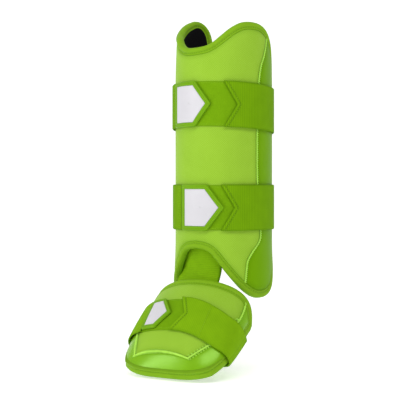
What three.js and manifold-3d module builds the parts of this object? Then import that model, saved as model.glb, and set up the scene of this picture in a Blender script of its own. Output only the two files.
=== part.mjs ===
// A batter's leg guard: a padded shin shell, a foot pad hung from it on an elastic tongue, and three
// elastic straps with home-plate tabs. Millimetres, +Z up, the toe toward -Y, and the origin on the
// shin's axis midway between the two shin straps.
import * as THREE from 'three';
import { mergeVertices } from 'three/addons/utils/BufferGeometryUtils.js';
import Module from 'manifold-3d';

const { degToRad, lerp, clamp } = THREE.MathUtils;
const wasm = await Module();
wasm.setup();

// Shin shell
const SHIN_RADIUS = 57.5;        // outer face of the panels between the straps
const KNEE_TAPER = 1.7;          // how much the radius shrinks at the top
const ANKLE_FLARE = 1.6;         // how much it grows at the bottom
const PANEL_THICK = 5.5;
const LINING_THICK = 2;
const BACK_EDGE = 121.5;         // degrees from the front to each panel's back edge
const KNEE_DIP = 118;            // height of the panels' top edge at the front
const RIGHT_RISE = 30;           // how far the right wing stands above the dip
const LEFT_RISE = 42.5;
const ARCH_TOP = -98;            // height of the panels' bottom edge at the front
const WING_DROP = 58;            // how far both wings hang below the arch
const BINDING_WIDTH = 8.5;
const BINDING_PROUD = 0.6;       // how far the binding stands out on both faces
const GAP = 0.3;                 // between neighbouring pieces
const EDGE_GAP = 0.45;           // between a panel's edge and its binding
const LINING_GAP = 0.5;          // between the panels and the lining, whose facets differ

// Straps and tabs
const STRAP_WIDTH = 53;
const STRAP_THICK = 2;
const STRAP_SPACING = 118;       // between the two shin straps' middles
const UPPER_STRAP_LIFT = 3.5;    // how much higher the upper strap runs in front than at its sides
const BACK_DIP = 9;              // how far the elastic draws in across the open back
const LANDING_THICK = 1.2;
const NOTCH_DEPTH = 15;
const FOOT_NOTCH_DEPTH = 11;
const TAB_LENGTH = 34;           // from the tab's base to its shoulders
const TAB_POINT = 19;            // from the shoulders to the tip
const TAB_TIP = 1.2;             // half height of the blunt tip
const TAB_THICK = 3.2;
const TAB_BORDER = 5;
const POCKET_DEPTH = 1.3;
const INSET_THICK = 0.7;

// Foot pad: its base plane slopes down to the toe
const FOOT_SLOPE = 31;           // degrees below level
const FOOT_TURN = 6;             // degrees that the toe turns toward +X
const FOOT_SET_FORWARD = 38;     // where the base plane starts, ahead of the shin's axis
const FOOT_SET_DOWN = 188.5;
const FOOT_HALF_WIDTH = 65;
const FOOT_LENGTH = 110.5;
const FOOT_HEIGHT = 42;          // crest at the ankle above the pad's lower edge
const FOOT_WALL = 7;
const TOE_NARROWING = 0.16;
const TOE_ROUNDING = 0.09;
const ANKLE_CORNER = 18;         // how far the ankle edge runs forward at the sides
const FOOT_STRAP_WIDTH = 43;
const FOOT_STRAP_MIDDLE = 48;    // from the ankle edge, along the base plane
const FOOT_STRAP_SLANT = 9;      // how far it runs toward the toe on the right side
const SOLE_DROP = 13;            // how far the strap passes under the pad's lower edge
const LEFT_SLACK = 0.2;           // how far the strap stands off the pad's left side
const FOOT_TAB_LENGTH = 20;
const FOOT_TAB_BORDER = 3.8;
const FOOT_TAB_POINT = 15;

// Tongue
const TONGUE_WIDTH = 60;
const TONGUE_THICK = 3;
const TONGUE_TUCK = 16;          // how far its ends reach behind the shell and under the pad
const TONGUE_TURN = 8;           // degrees that it sits to the left of the shell's front
const TONGUE_ON_FOOT = 12;       // degrees that it sits to the left of the pad's crest

// Edge of the panels from the front to the back edge: "along" is the share of BACK_EDGE, "right",
// "left" and "down" are shares of RIGHT_RISE, LEFT_RISE and WING_DROP.
const OUTLINE = [
  { along: 0.00, right: 0.00, left: 0.00, down: 0.00 },
  { along: 0.12, right: 0.06, left: 0.01, down: 0.04 },
  { along: 0.21, right: 0.21, left: 0.08, down: 0.14 },
  { along: 0.30, right: 0.47, left: 0.21, down: 0.36 },
  { along: 0.40, right: 0.77, left: 0.39, down: 0.61 },
  { along: 0.50, right: 0.96, left: 0.52, down: 0.83 },
  { along: 0.60, right: 1.00, left: 0.68, down: 0.97 },
  { along: 0.70, right: 0.95, left: 0.84, down: 1.00 },
  { along: 0.79, right: 0.80, left: 0.95, down: 0.96 },
  { along: 0.86, right: 0.58, left: 1.00, down: 0.87 },
  { along: 0.92, right: 0.30, left: 0.95, down: 0.71 },
  { along: 0.97, right: -0.08, left: 0.78, down: 0.48 },
  { along: 1.00, right: -0.50, left: 0.48, down: 0.18 },
];

// Seam between the front panel and the side panels, from the top: "height" is the share of the shell's
// height from the arch to the dip, "across" the share of BACK_EDGE.
const SEAM = [
  { height: 1.15, across: 0.86 },
  { height: 1.02, across: 0.77 },
  { height: 0.93, across: 0.69 },
  { height: 0.80, across: 0.655 },
  { height: 0.58, across: 0.64 },
  { height: 0.30, across: 0.645 },
  { height: 0.05, across: 0.69 },
  { height: 0.00, across: 0.675 },
  { height: -0.06, across: 0.58 },
  { height: -0.10, across: 0.53 },
  { height: -0.13, across: 0.515 },
  { height: -0.24, across: 0.49 },
];

// The foot's top panel: "along" is the share of FOOT_LENGTH from the ankle, "right" and "left" are
// shares of a quarter turn from the crest
const FOOT_SEAM = [
  { along: 0.00, right: 0.72, left: 0.72 },
  { along: 0.12, right: 0.77, left: 0.77 },
  { along: 0.28, right: 0.78, left: 0.74 },
  { along: 0.50, right: 0.66, left: 0.64 },
  { along: 0.68, right: 0.52, left: 0.55 },
  { along: 0.863, right: 0.30, left: 0.49 },
];
const SEAM_BOW = 0.035;          // how far the toe seam bows toward the ankle, a share of FOOT_LENGTH

const MATERIALS = {
  fabric: { color: 0x93c83a, roughness: 0.8, metalness: 0 },
  coated: { color: 0x72a812, roughness: 0.5, metalness: 0 },
  toe: { color: 0x80b71a, roughness: 0.3, metalness: 0 },
  binding: { color: 0x7eb41b, roughness: 0.7, metalness: 0 },
  lining: { color: 0x0b0b0b, roughness: 0.95, metalness: 0 },
  loop: { color: 0x74aa12, roughness: 0.95, metalness: 0 },
  elastic: { color: 0x70a511, roughness: 0.85, metalness: 0 },
  moulded: { color: 0x6fa818, roughness: 0.5, metalness: 0 },
  white: { color: 0xe4e1e8, roughness: 0.6, metalness: 0 },
};

const guard = new THREE.Group();

function add(name, geometry, material) {
  const mesh = new THREE.Mesh(geometry, new THREE.MeshStandardMaterial(MATERIALS[material]));
  mesh.name = name;
  guard.add(mesh);
}

// Smooth value of a table's column at a place in another column, held level past both ends
function lookUp(table, key, column, place) {
  const rising = table[0][key] < table[table.length - 1][key];
  const rows = rising ? table : [...table].reverse();
  const at = clamp(place, rows[0][key], rows[rows.length - 1][key]);
  let i = 0;
  while (i < rows.length - 2 && rows[i + 1][key] < at) i += 1;
  const slope = (n) => {
    const before = rows[Math.max(n - 1, 0)];
    const after = rows[Math.min(n + 1, rows.length - 1)];
    return (after[column] - before[column]) / (after[key] - before[key]);
  };
  const span = rows[i + 1][key] - rows[i][key];
  const t = (at - rows[i][key]) / span;
  const rise = rows[i + 1][column] - rows[i][column];
  const bend = t * (t - 1) * span;
  const ease = t * t * (3 - 2 * t);
  const tangents = bend * ((t - 1) * slope(i) + t * slope(i + 1));
  return rows[i][column] + rise * ease + tangents;
}

// A closed wall between an outer and an inner face, both given over u and v from 0 to 1. The faces
// point out where u runs to the right and v runs up as seen from outside. Each quad is cut along its
// shorter diagonal, so that skewed ones still follow a round form.
function wall(columns, rows, outer, inner) {
  const points = [];
  const faces = [];
  const grid = (face) => {
    const start = points.length;
    for (let i = 0; i <= columns; i += 1) {
      for (let j = 0; j <= rows; j += 1) points.push(face(i / columns, j / rows));
    }
    return (i, j) => start + i * (rows + 1) + j;
  };
  const out = grid(outer);
  const back = grid(inner);
  const quad = (a, b, c, d) => {
    const cutFromA = points[a].distanceTo(points[c]) <= points[b].distanceTo(points[d]);
    faces.push(...(cutFromA ? [a, b, c, a, c, d] : [a, b, d, b, c, d]));
  };
  for (let i = 0; i < columns; i += 1) {
    for (let j = 0; j < rows; j += 1) {
      quad(out(i, j), out(i + 1, j), out(i + 1, j + 1), out(i, j + 1));
      quad(back(i, j), back(i, j + 1), back(i + 1, j + 1), back(i + 1, j));
    }
    quad(back(i, 0), back(i + 1, 0), out(i + 1, 0), out(i, 0));
    quad(out(i, rows), out(i + 1, rows), back(i + 1, rows), back(i, rows));
  }
  for (let j = 0; j < rows; j += 1) {
    quad(out(0, j), out(0, j + 1), back(0, j + 1), back(0, j));
    quad(back(columns, j), back(columns, j + 1), out(columns, j + 1), out(columns, j));
  }
  return geometryOf(points, faces);
}

function geometryOf(points, faces) {
  const geometry = new THREE.BufferGeometry();
  const numbers = points.flatMap((point) => [point.x, point.y, point.z]);
  geometry.setAttribute('position', new THREE.Float32BufferAttribute(numbers, 3));
  geometry.setIndex(faces);
  return geometry;
}

// Section of a rolled edge binding: "out" is the share of BINDING_WIDTH, "face" the share of half its
// thickness
const ROLL = [
  { out: 0.0, face: -1.0 },
  { out: 0.7, face: -1.0 },
  { out: 1.0, face: -0.4 },
  { out: 1.0, face: 0.4 },
  { out: 0.7, face: 1.0 },
  { out: 0.0, face: 1.0 },
];

// A binding round a closed edge. Each stop has its place in the middle of the wall, the direction away
// from the panel and the direction out of the wall's face.
function binding(stops, wallThick, edgeGap) {
  const points = [];
  const faces = [];
  const half = wallThick / 2 + BINDING_PROUD;
  const count = ROLL.length;
  for (const stop of stops) {
    for (const row of ROLL) {
      const out = lerp(edgeGap, BINDING_WIDTH, row.out);
      const place = stop.place.clone().addScaledVector(stop.away, out);
      points.push(place.addScaledVector(stop.face, row.face * half));
    }
  }
  stops.forEach((stop, i) => {
    const here = i * count;
    const next = ((i + 1) % stops.length) * count;
    for (let k = 0; k < count; k += 1) {
      const l = (k + 1) % count;
      faces.push(here + k, next + l, here + l, here + k, next + k, next + l);
    }
  });
  return geometryOf(points, faces);
}

function solidOf(geometry) {
  const merged = mergeVertices(geometry, 1e-5);
  return new wasm.Manifold(new wasm.Mesh({
    numProp: 3,
    vertProperties: new Float32Array(merged.attributes.position.array),
    triVerts: new Uint32Array(merged.index.array),
  }));
}

function cut(body, tool) {
  const mesh = solidOf(body).subtract(solidOf(tool)).getMesh();
  const geometry = new THREE.BufferGeometry();
  geometry.setAttribute('position', new THREE.Float32BufferAttribute(mesh.vertProperties, 3));
  geometry.setIndex([...mesh.triVerts]);
  return geometry;
}

// Shin shell: places are an angle in degrees from the front, positive toward +X, and a height
const SHELL_THICK = PANEL_THICK + LINING_GAP + LINING_THICK;
const SHELL_HEIGHT = KNEE_DIP - ARCH_TOP;

function shellRadius(height) {
  const above = THREE.MathUtils.smoothstep(height, 0.75 * KNEE_DIP, KNEE_DIP + LEFT_RISE);
  const below = THREE.MathUtils.smoothstep(-height, -ARCH_TOP, WING_DROP - ARCH_TOP);
  return SHIN_RADIUS - KNEE_TAPER * above + ANKLE_FLARE * below;
}

function onShin(angle, height, depth) {
  const radius = shellRadius(height) - depth;
  const turn = degToRad(angle);
  return new THREE.Vector3(radius * Math.sin(turn), -radius * Math.cos(turn), height);
}

function topEdge(angle) {
  const along = Math.abs(angle) / BACK_EDGE;
  const rise = angle > 0 ? RIGHT_RISE * lookUp(OUTLINE, 'along', 'right', along)
    : LEFT_RISE * lookUp(OUTLINE, 'along', 'left', along);
  return KNEE_DIP + rise;
}

function bottomEdge(angle) {
  return ARCH_TOP - WING_DROP * lookUp(OUTLINE, 'along', 'down', Math.abs(angle) / BACK_EDGE);
}

function seamAngle(height) {
  return BACK_EDGE * lookUp(SEAM, 'height', 'across', (height - ARCH_TOP) / SHELL_HEIGHT);
}

// The place on the front panel a share u of the way between its seams and v of the way up. The seam
// depends on the height and the edges on the angle, so the two are brought together step by step.
const SHELL_ROWS = 16;

function frontPlace(u, v) {
  let height = lerp(ARCH_TOP, KNEE_DIP, v);
  let angle = 0;
  for (let step = 0; step < 60; step += 1) {
    angle = (2 * u - 1) * seamAngle(height);
    height = lerp(height, lerp(bottomEdge(angle), topEdge(angle), v), 0.4);
  }
  return { angle, height };
}

function frontFace(depth) {
  return (u, v) => {
    const { angle, height } = frontPlace(u, v);
    return onShin(angle, height, depth);
  };
}
add('shin_front_panel', wall(20, SHELL_ROWS, frontFace(0), frontFace(PANEL_THICK)), 'fabric');

// A side panel starts at the front panel's edge and shares its rows
const SEAM_GAP = ((2 * GAP) / SHIN_RADIUS) * (180 / Math.PI);

function sideFace(side, depth) {
  return (u, v) => {
    const fromSeam = side > 0 ? u : 1 - u;
    const seam = frontPlace(side > 0 ? 1 : 0, v).angle + side * SEAM_GAP;
    const angle = lerp(seam, side * BACK_EDGE, fromSeam);
    return onShin(angle, lerp(bottomEdge(angle), topEdge(angle), v), depth);
  };
}
add('shin_side_panel_right', wall(7, SHELL_ROWS, sideFace(1, 0), sideFace(1, PANEL_THICK)), 'coated');
add('shin_side_panel_left', wall(7, SHELL_ROWS, sideFace(-1, 0), sideFace(-1, PANEL_THICK)), 'coated');

// Angles from back edge to back edge, closer together at the rounded corners
function shellAngle(share) {
  const side = 2 * share - 1;
  return BACK_EDGE * Math.sign(side) * (1 - (1 - Math.abs(side)) ** 1.35);
}

function liningFace(depth) {
  return (u, v) => {
    const angle = shellAngle(u);
    return onShin(angle, lerp(bottomEdge(angle), topEdge(angle), v), depth);
  };
}
add('shin_lining', wall(40, 7, liningFace(PANEL_THICK + LINING_GAP), liningFace(SHELL_THICK)), 'lining');

// The shell's whole edge, counter-clockwise as seen from outside
function shinEdge() {
  const steps = 40;
  const sideSteps = 6;
  const places = [];
  for (let i = 0; i < steps; i += 1) {
    const angle = shellAngle(i / steps);
    places.push([angle, bottomEdge(angle)]);
  }
  for (let i = 0; i < sideSteps; i += 1) {
    places.push([BACK_EDGE, lerp(bottomEdge(BACK_EDGE), topEdge(BACK_EDGE), i / sideSteps)]);
  }
  for (let i = 0; i < steps; i += 1) {
    const angle = -shellAngle(i / steps);
    places.push([angle, topEdge(angle)]);
  }
  for (let i = 0; i < sideSteps; i += 1) {
    places.push([-BACK_EDGE, lerp(topEdge(-BACK_EDGE), bottomEdge(-BACK_EDGE), i / sideSteps)]);
  }
  return places.map(([angle, height], i) => {
    const before = places[(i + places.length - 1) % places.length];
    const after = places[(i + 1) % places.length];
    const place = onShin(angle, height, SHELL_THICK / 2);
    const face = onShin(angle, height, 0).sub(place).normalize();
    const along = onShin(...after, SHELL_THICK / 2).sub(onShin(...before, SHELL_THICK / 2)).normalize();
    return { place, face, away: along.cross(face).normalize() };
  });
}
add('shin_binding', binding(shinEdge(), SHELL_THICK, EDGE_GAP), 'binding');

// Straps and tabs lie on a surface: a function of the way along the strap, the way across it and the
// height above the panel, all in mm
const MM_PER_DEGREE = (Math.PI / 180) * SHIN_RADIUS;
const SHIN_LIFT = 2 * GAP + BINDING_PROUD;
const STRAP_LIFT = GAP + LANDING_THICK + GAP;
const STRAP_COLUMNS = 40;
const STRAP_STEP = 360 / STRAP_COLUMNS;

function shinSurface(middle, frontLift) {
  return (along, across, lift) => {
    const turn = along / SHIN_RADIUS;
    const radius = SHIN_RADIUS + lift;
    const height = middle + across + frontLift * Math.cos(turn);
    return new THREE.Vector3(radius * Math.sin(turn), -radius * Math.cos(turn), height);
  };
}

// Half the height of the home-plate tab at a share of its length, less a border
function tabEdge(tab, share, border) {
  const shoulder = tab.length / (tab.length + tab.point);
  const full = tab.width / 2 - border;
  const tip = Math.max(TAB_TIP - border / 4, 0.4);
  return share < shoulder ? full : lerp(full, tip, (share - shoulder) / (1 - shoulder));
}

// A home-plate plate from its base to its tip, drawn in by a border, between two lifts
const TAB_COLUMNS = 12;
const SHOULDER_COLUMN = 8;

function homePlate(tab, border, low, high) {
  const length = tab.length + tab.point;
  const shoulder = tab.length / length;
  const face = (lift) => (u, v) => {
    const i = Math.round(u * TAB_COLUMNS);
    const share = i <= SHOULDER_COLUMN ? (shoulder * i) / SHOULDER_COLUMN
      : lerp(shoulder, 1, (i - SHOULDER_COLUMN) / (TAB_COLUMNS - SHOULDER_COLUMN));
    const along = lerp(border, length - border * 1.6, share);
    return tab.surface(tab.base + along, (2 * v - 1) * tabEdge(tab, share, border), lift);
  };
  return wall(TAB_COLUMNS, tab.rows, face(high), face(low));
}

function addTab(name, tab) {
  const top = tab.lift + TAB_THICK;
  const plate = homePlate(tab, 0, tab.lift, top);
  const pocket = homePlate(tab, tab.border, top - POCKET_DEPTH, top + 2);
  const low = top - POCKET_DEPTH + GAP;
  add(name, cut(plate, pocket), 'moulded');
  add(`${name}_inset`, homePlate(tab, tab.border + GAP, low, low + INSET_THICK), 'white');
}

// Share of the way from one angle to another, eased at both ends
function ramp(from, to, angle) {
  return THREE.MathUtils.smoothstep(angle, from, to);
}

function addShinStrap(name, middle, frontLift, tabBase, notch) {
  const surface = shinSurface(middle, frontLift);
  const half = STRAP_WIDTH / 2;
  const landingEnd = notch + 12;
  const landingStart = tabBase - 8;
  const landingFace = (lift) => (u, v) => surface(
    lerp(landingStart, landingEnd, u) * MM_PER_DEGREE, (2 * v - 1) * (half - 0.8), lift);
  add(`${name}_landing`, wall(16, 2, landingFace(GAP + LANDING_THICK), landingFace(GAP)), 'loop');

  // The elastic runs from its notched end round the back to the tab's base, and draws in once it has
  // passed the shell's back edges
  const strapEnd = 360 + tabBase - GAP / MM_PER_DEGREE;
  const liftAt = (angle) => {
    const onLanding = 1 - ramp(landingEnd + STRAP_STEP, landingEnd + 3 * STRAP_STEP, angle)
      + ramp(360 + landingStart - 3 * STRAP_STEP, 360 + landingStart - STRAP_STEP, angle);
    const dipStart = BACK_EDGE + BINDING_WIDTH / MM_PER_DEGREE + STRAP_STEP;
    const back = ramp(dipStart, 180, angle) * (1 - ramp(180, 360 - dipStart, angle));
    return lerp(SHIN_LIFT, STRAP_LIFT, onLanding) - BACK_DIP * back;
  };
  const strapFace = (thick) => (u, v) => {
    const middleShare = 1 - Math.abs(2 * v - 1);
    const start = notch - (NOTCH_DEPTH / MM_PER_DEGREE) * (1 - middleShare);
    const angle = lerp(start, strapEnd, u);
    return surface(angle * MM_PER_DEGREE, (2 * v - 1) * half, liftAt(angle) + thick);
  };
  add(name, wall(STRAP_COLUMNS, 4, strapFace(STRAP_THICK), strapFace(0)), 'elastic');
  addTab(name.replace('strap', 'tab'), {
    surface,
    base: tabBase * MM_PER_DEGREE,
    width: STRAP_WIDTH,
    length: TAB_LENGTH,
    point: TAB_POINT,
    border: TAB_BORDER,
    lift: STRAP_LIFT,
    rows: 2,
  });
}

addShinStrap('upper_strap', STRAP_SPACING / 2 - UPPER_STRAP_LIFT / 2, UPPER_STRAP_LIFT, -31.5, 50);
addShinStrap('lower_strap', -STRAP_SPACING / 2, 0, -17, 47);

// Foot pad: "across" runs from -90 at the left lower edge over the crest at 0 to 90 at the right, and
// "forward" from 0 at the ankle to 90 at the toe, both in degrees
const slope = degToRad(FOOT_SLOPE);
const footTurn = new THREE.Euler(0, 0, degToRad(FOOT_TURN));
const SIDEWARD = new THREE.Vector3(1, 0, 0).applyEuler(footTurn);
const TOEWARD = new THREE.Vector3(0, -Math.cos(slope), -Math.sin(slope)).applyEuler(footTurn);
const CRESTWARD = new THREE.Vector3(0, -Math.sin(slope), Math.cos(slope)).applyEuler(footTurn);
const FOOT_START = new THREE.Vector3(0, -FOOT_SET_FORWARD, -FOOT_SET_DOWN).applyEuler(footTurn);

// Powers of the arch over the foot and of the toe's profile: 1 is an ellipse, less is fuller
const SIDE_POWER = 0.86;
const TOE_POWER = 1.4;

function inFoot(side, along, height) {
  return FOOT_START.clone().addScaledVector(TOEWARD, along).addScaledVector(CRESTWARD, height)
    .addScaledVector(SIDEWARD, side);
}

function ankleEdge(across) {
  return ANKLE_CORNER * Math.abs(across / 90) ** 5;
}

function footReach(across, grow) {
  return (FOOT_LENGTH + grow) * (1 - TOE_ROUNDING * Math.sin(degToRad(across)) ** 4);
}

function onFoot(across, forward, grow) {
  const a = degToRad(across);
  const f = degToRad(forward);
  const reach = Math.sin(f) ** TOE_POWER;
  const half = (FOOT_HALF_WIDTH + grow) * (1 - TOE_NARROWING * reach ** 5);
  const arch = Math.max(Math.cos(a), 0) ** SIDE_POWER;
  const profile = Math.max(Math.cos(f), 0) ** TOE_POWER;
  const along = lerp(ankleEdge(across), footReach(across, grow), reach);
  return inFoot(half * Math.sin(a), along, BINDING_WIDTH + (FOOT_HEIGHT + grow) * arch * profile);
}

// The turn "forward" at which the surface lies a given length from the ankle
function forwardAt(across, along, grow) {
  const start = ankleEdge(across);
  const reach = clamp((along - start) / (footReach(across, grow) - start), 0, 1);
  return THREE.MathUtils.radToDeg(Math.asin(reach ** (1 / TOE_POWER)));
}

// Top panel, a share u of the way from its left seam to its right one and v of the way to the toe
const SEAM_END = FOOT_SEAM[FOOT_SEAM.length - 1].along;
const SEAM_COLUMNS = 10;
const SEAM_ROWS = 10;

function topPanelPlace(u, v) {
  const along = v * SEAM_END;
  const left = -90 * lookUp(FOOT_SEAM, 'along', 'left', along);
  const right = 90 * lookUp(FOOT_SEAM, 'along', 'right', along);
  const across = lerp(left, right, u);
  const bow = SEAM_BOW * Math.sin(Math.PI * u);
  return { across, forward: forwardAt(across, FOOT_LENGTH * v * (SEAM_END - bow), 0) };
}

function topPanelFace(grow) {
  return (u, v) => {
    const { across, forward } = topPanelPlace(1 - u, v);
    return onFoot(across, forward, grow);
  };
}
add('foot_top_panel', wall(SEAM_COLUMNS, SEAM_ROWS, topPanelFace(0), topPanelFace(-FOOT_WALL)), 'fabric');

// Toe cap and sides: from the top panel's seam to the pad's lower edge, round the toe
function toeStations() {
  const stations = [];
  for (let j = 0; j <= SEAM_ROWS; j += 1) {
    const rim = { across: 90, forward: (90 * j) / SEAM_ROWS };
    stations.push({ seam: topPanelPlace(1, j / SEAM_ROWS), rim });
  }
  for (let i = 1; i < SEAM_COLUMNS; i += 1) {
    const u = 1 - i / SEAM_COLUMNS;
    stations.push({ seam: topPanelPlace(u, 1), rim: { across: 90 * (2 * u - 1), forward: 90 } });
  }
  for (let j = SEAM_ROWS; j >= 0; j -= 1) {
    const rim = { across: -90, forward: (90 * j) / SEAM_ROWS };
    stations.push({ seam: topPanelPlace(0, j / SEAM_ROWS), rim });
  }
  return stations;
}

const toeRing = toeStations();
const FOOT_SEAM_GAP = 3 * GAP;

function toeFace(grow) {
  return (u, v) => {
    const { seam, rim } = toeRing[Math.round(u * (toeRing.length - 1))];
    const reach = onFoot(seam.across, seam.forward, 0).distanceTo(onFoot(rim.across, rim.forward, 0));
    const share = lerp(FOOT_SEAM_GAP / reach, 1, v);
    return onFoot(lerp(seam.across, rim.across, share), lerp(seam.forward, rim.forward, share), grow);
  };
}
add('foot_toe_cap', wall(toeRing.length - 1, 5, toeFace(0), toeFace(-FOOT_WALL)), 'toe');

// The pad's whole edge, counter-clockwise as seen from above the crest with the toe at the bottom
function footEdge() {
  const steps = 16;
  const places = [];
  for (let i = 0; i < steps; i += 1) places.push([lerp(90, -90, i / steps), 0]);
  for (let i = 0; i < steps; i += 1) places.push([-90, lerp(0, 90, i / steps)]);
  for (let i = 0; i < steps; i += 1) places.push([lerp(-90, 90, i / steps), 90]);
  for (let i = 0; i < steps; i += 1) places.push([90, lerp(90, 0, i / steps)]);
  const middle = -FOOT_WALL / 2;
  return places.map(([across, forward], i) => {
    const before = places[(i + places.length - 1) % places.length];
    const after = places[(i + 1) % places.length];
    const place = onFoot(across, forward, middle);
    const along = onFoot(...after, middle).sub(onFoot(...before, middle)).normalize();
    const atAnkle = forward === 0 ? 1 - Math.abs(across / 90) ** 5 : 0;
    const away = CRESTWARD.clone().lerp(TOEWARD, atAnkle).negate();
    away.addScaledVector(along, -away.dot(along)).normalize();
    return { place, away, face: away.clone().cross(along).normalize() };
  });
}
add('foot_binding', binding(footEdge(), FOOT_WALL, 2 * EDGE_GAP), 'binding');

// Foot strap: over the pad, under the sole and back up to the tab's base
const FOOT_MM_PER_DEGREE = (Math.PI / 180) * FOOT_HALF_WIDTH;
const FOOT_STRAP_LIFT = GAP + LANDING_THICK + GAP + BINDING_PROUD;
const FOOT_TAB_BASE = -40;
const FOOT_NOTCH = 5;

function footSurface(along, across, lift) {
  const angle = along / FOOT_MM_PER_DEGREE;
  const middle = FOOT_STRAP_MIDDLE + FOOT_STRAP_SLANT * ramp(0, 60, angle);
  return onFoot(angle, forwardAt(angle, middle - across, lift), lift);
}

const footLandingFace = (lift) => (u, v) => footSurface(
  lerp(FOOT_TAB_BASE - 4, FOOT_NOTCH + 8, u) * FOOT_MM_PER_DEGREE,
  (2 * v - 1) * (FOOT_STRAP_WIDTH / 2 - 1), lift);
add('foot_strap_landing', wall(10, 4, footLandingFace(GAP + LANDING_THICK), footLandingFace(GAP)), 'loop');

// A place on the strap's loop: turns past 90 pass under the sole
function footLoop(turn, across, lift) {
  if (turn <= 90) return footSurface(turn * FOOT_MM_PER_DEGREE, across, lift);
  if (turn >= 270) {
    const slack = LEFT_SLACK * (1 - ramp(290, 330, turn));
    return footSurface((turn - 360) * FOOT_MM_PER_DEGREE, across, lift + slack);
  }
  const side = Math.sin(degToRad(turn));
  const down = Math.abs(Math.cos(degToRad(turn)));
  const grow = lift + (side < 0 ? LEFT_SLACK : 0);
  const right = footSurface(90 * FOOT_MM_PER_DEGREE, across, grow);
  const left = footSurface(-90 * FOOT_MM_PER_DEGREE, across, grow);
  const share = 0.5 + 0.5 * Math.sign(side) * Math.abs(side) ** 0.4;
  const drop = (SOLE_DROP + lift - FOOT_STRAP_LIFT) * down ** 0.4;
  return left.lerp(right, share).addScaledVector(CRESTWARD, -drop);
}

const footStrapFace = (thick) => (u, v) => {
  const middleShare = 1 - Math.abs(2 * v - 1);
  const start = FOOT_NOTCH - (FOOT_NOTCH_DEPTH / FOOT_MM_PER_DEGREE) * (1 - middleShare);
  const turn = lerp(start, 360 + FOOT_TAB_BASE - GAP / FOOT_MM_PER_DEGREE, u);
  return footLoop(turn, (2 * v - 1) * (FOOT_STRAP_WIDTH / 2), FOOT_STRAP_LIFT + thick);
};
add('foot_strap', wall(40, 4, footStrapFace(STRAP_THICK), footStrapFace(0)), 'elastic');
addTab('foot_tab', {
  surface: footSurface,
  base: FOOT_TAB_BASE * FOOT_MM_PER_DEGREE,
  width: FOOT_STRAP_WIDTH - 4,
  length: FOOT_TAB_LENGTH,
  point: FOOT_TAB_POINT,
  border: FOOT_TAB_BORDER,
  lift: FOOT_STRAP_LIFT,
  rows: 4,
});

// Tongue: from behind the shell's front, down past the arch and forward to under the foot pad's crest
function tonguePath() {
  const behind = SHELL_THICK + BINDING_PROUD + 2 * GAP + ANKLE_FLARE / 4;
  const halfTurn = THREE.MathUtils.radToDeg(TONGUE_WIDTH / 2 / (SHIN_RADIUS - behind));
  const clearHeight = bottomEdge(-TONGUE_TURN - halfTurn) - BINDING_WIDTH;
  const inShell = (height) => {
    const place = onShin(-TONGUE_TURN, height, 0);
    const shrink = (SHIN_RADIUS - behind) / shellRadius(height);
    return new THREE.Vector3(place.x * shrink, place.y * shrink, height);
  };
  const top = ARCH_TOP + TONGUE_TUCK;
  const underEdge = -FOOT_WALL - BINDING_PROUD - GAP;
  const ankle = onFoot(-TONGUE_ON_FOOT, 0, underEdge).addScaledVector(TOEWARD, -BINDING_WIDTH);
  const end = onFoot(-TONGUE_ON_FOOT, forwardAt(-TONGUE_ON_FOOT, TONGUE_TUCK, underEdge), underEdge);
  const places = [inShell(top), inShell(lerp(top, clearHeight, 0.5)), inShell(clearHeight), ankle, end];
  return new THREE.CatmullRomCurve3(places);
}

// The tongue is as round as the shell's inside until it is clear of it, then as flat as the pad's crest
const CLEAR_SHARE = 0.5;
const tongue = tonguePath();

function tongueFace(depth) {
  const inShell = new THREE.Vector3(Math.cos(degToRad(TONGUE_TURN)), -Math.sin(degToRad(TONGUE_TURN)), 0);
  const onPad = onFoot(5 - TONGUE_ON_FOOT, 0, 0).sub(onFoot(-5 - TONGUE_ON_FOOT, 0, 0)).normalize();
  const crestRadius = (FOOT_HALF_WIDTH - FOOT_WALL) ** 2 / (FOOT_HEIGHT - FOOT_WALL);
  return (u, v) => {
    const share = 1 - v;
    const turned = ramp(CLEAR_SHARE, 0.8, share);
    const middle = tongue.getPoint(share);
    const across = inShell.clone().lerp(onPad, turned).normalize();
    const out = tongue.getTangent(share).cross(across).normalize();
    const radius = lerp(SHIN_RADIUS - SHELL_THICK - 2, crestRadius * 0.9, turned);
    const side = (u - 0.5) * TONGUE_WIDTH;
    const sag = radius - Math.sqrt(radius ** 2 - side ** 2);
    return middle.addScaledVector(out, -sag - depth).addScaledVector(across, side);
  };
}
add('ankle_tongue', wall(8, 11, tongueFace(0), tongueFace(TONGUE_THICK)), 'elastic');

export default guard;
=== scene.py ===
import math

import bmesh
import bpy
import numpy as np
from mathutils import Matrix, Vector


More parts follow.
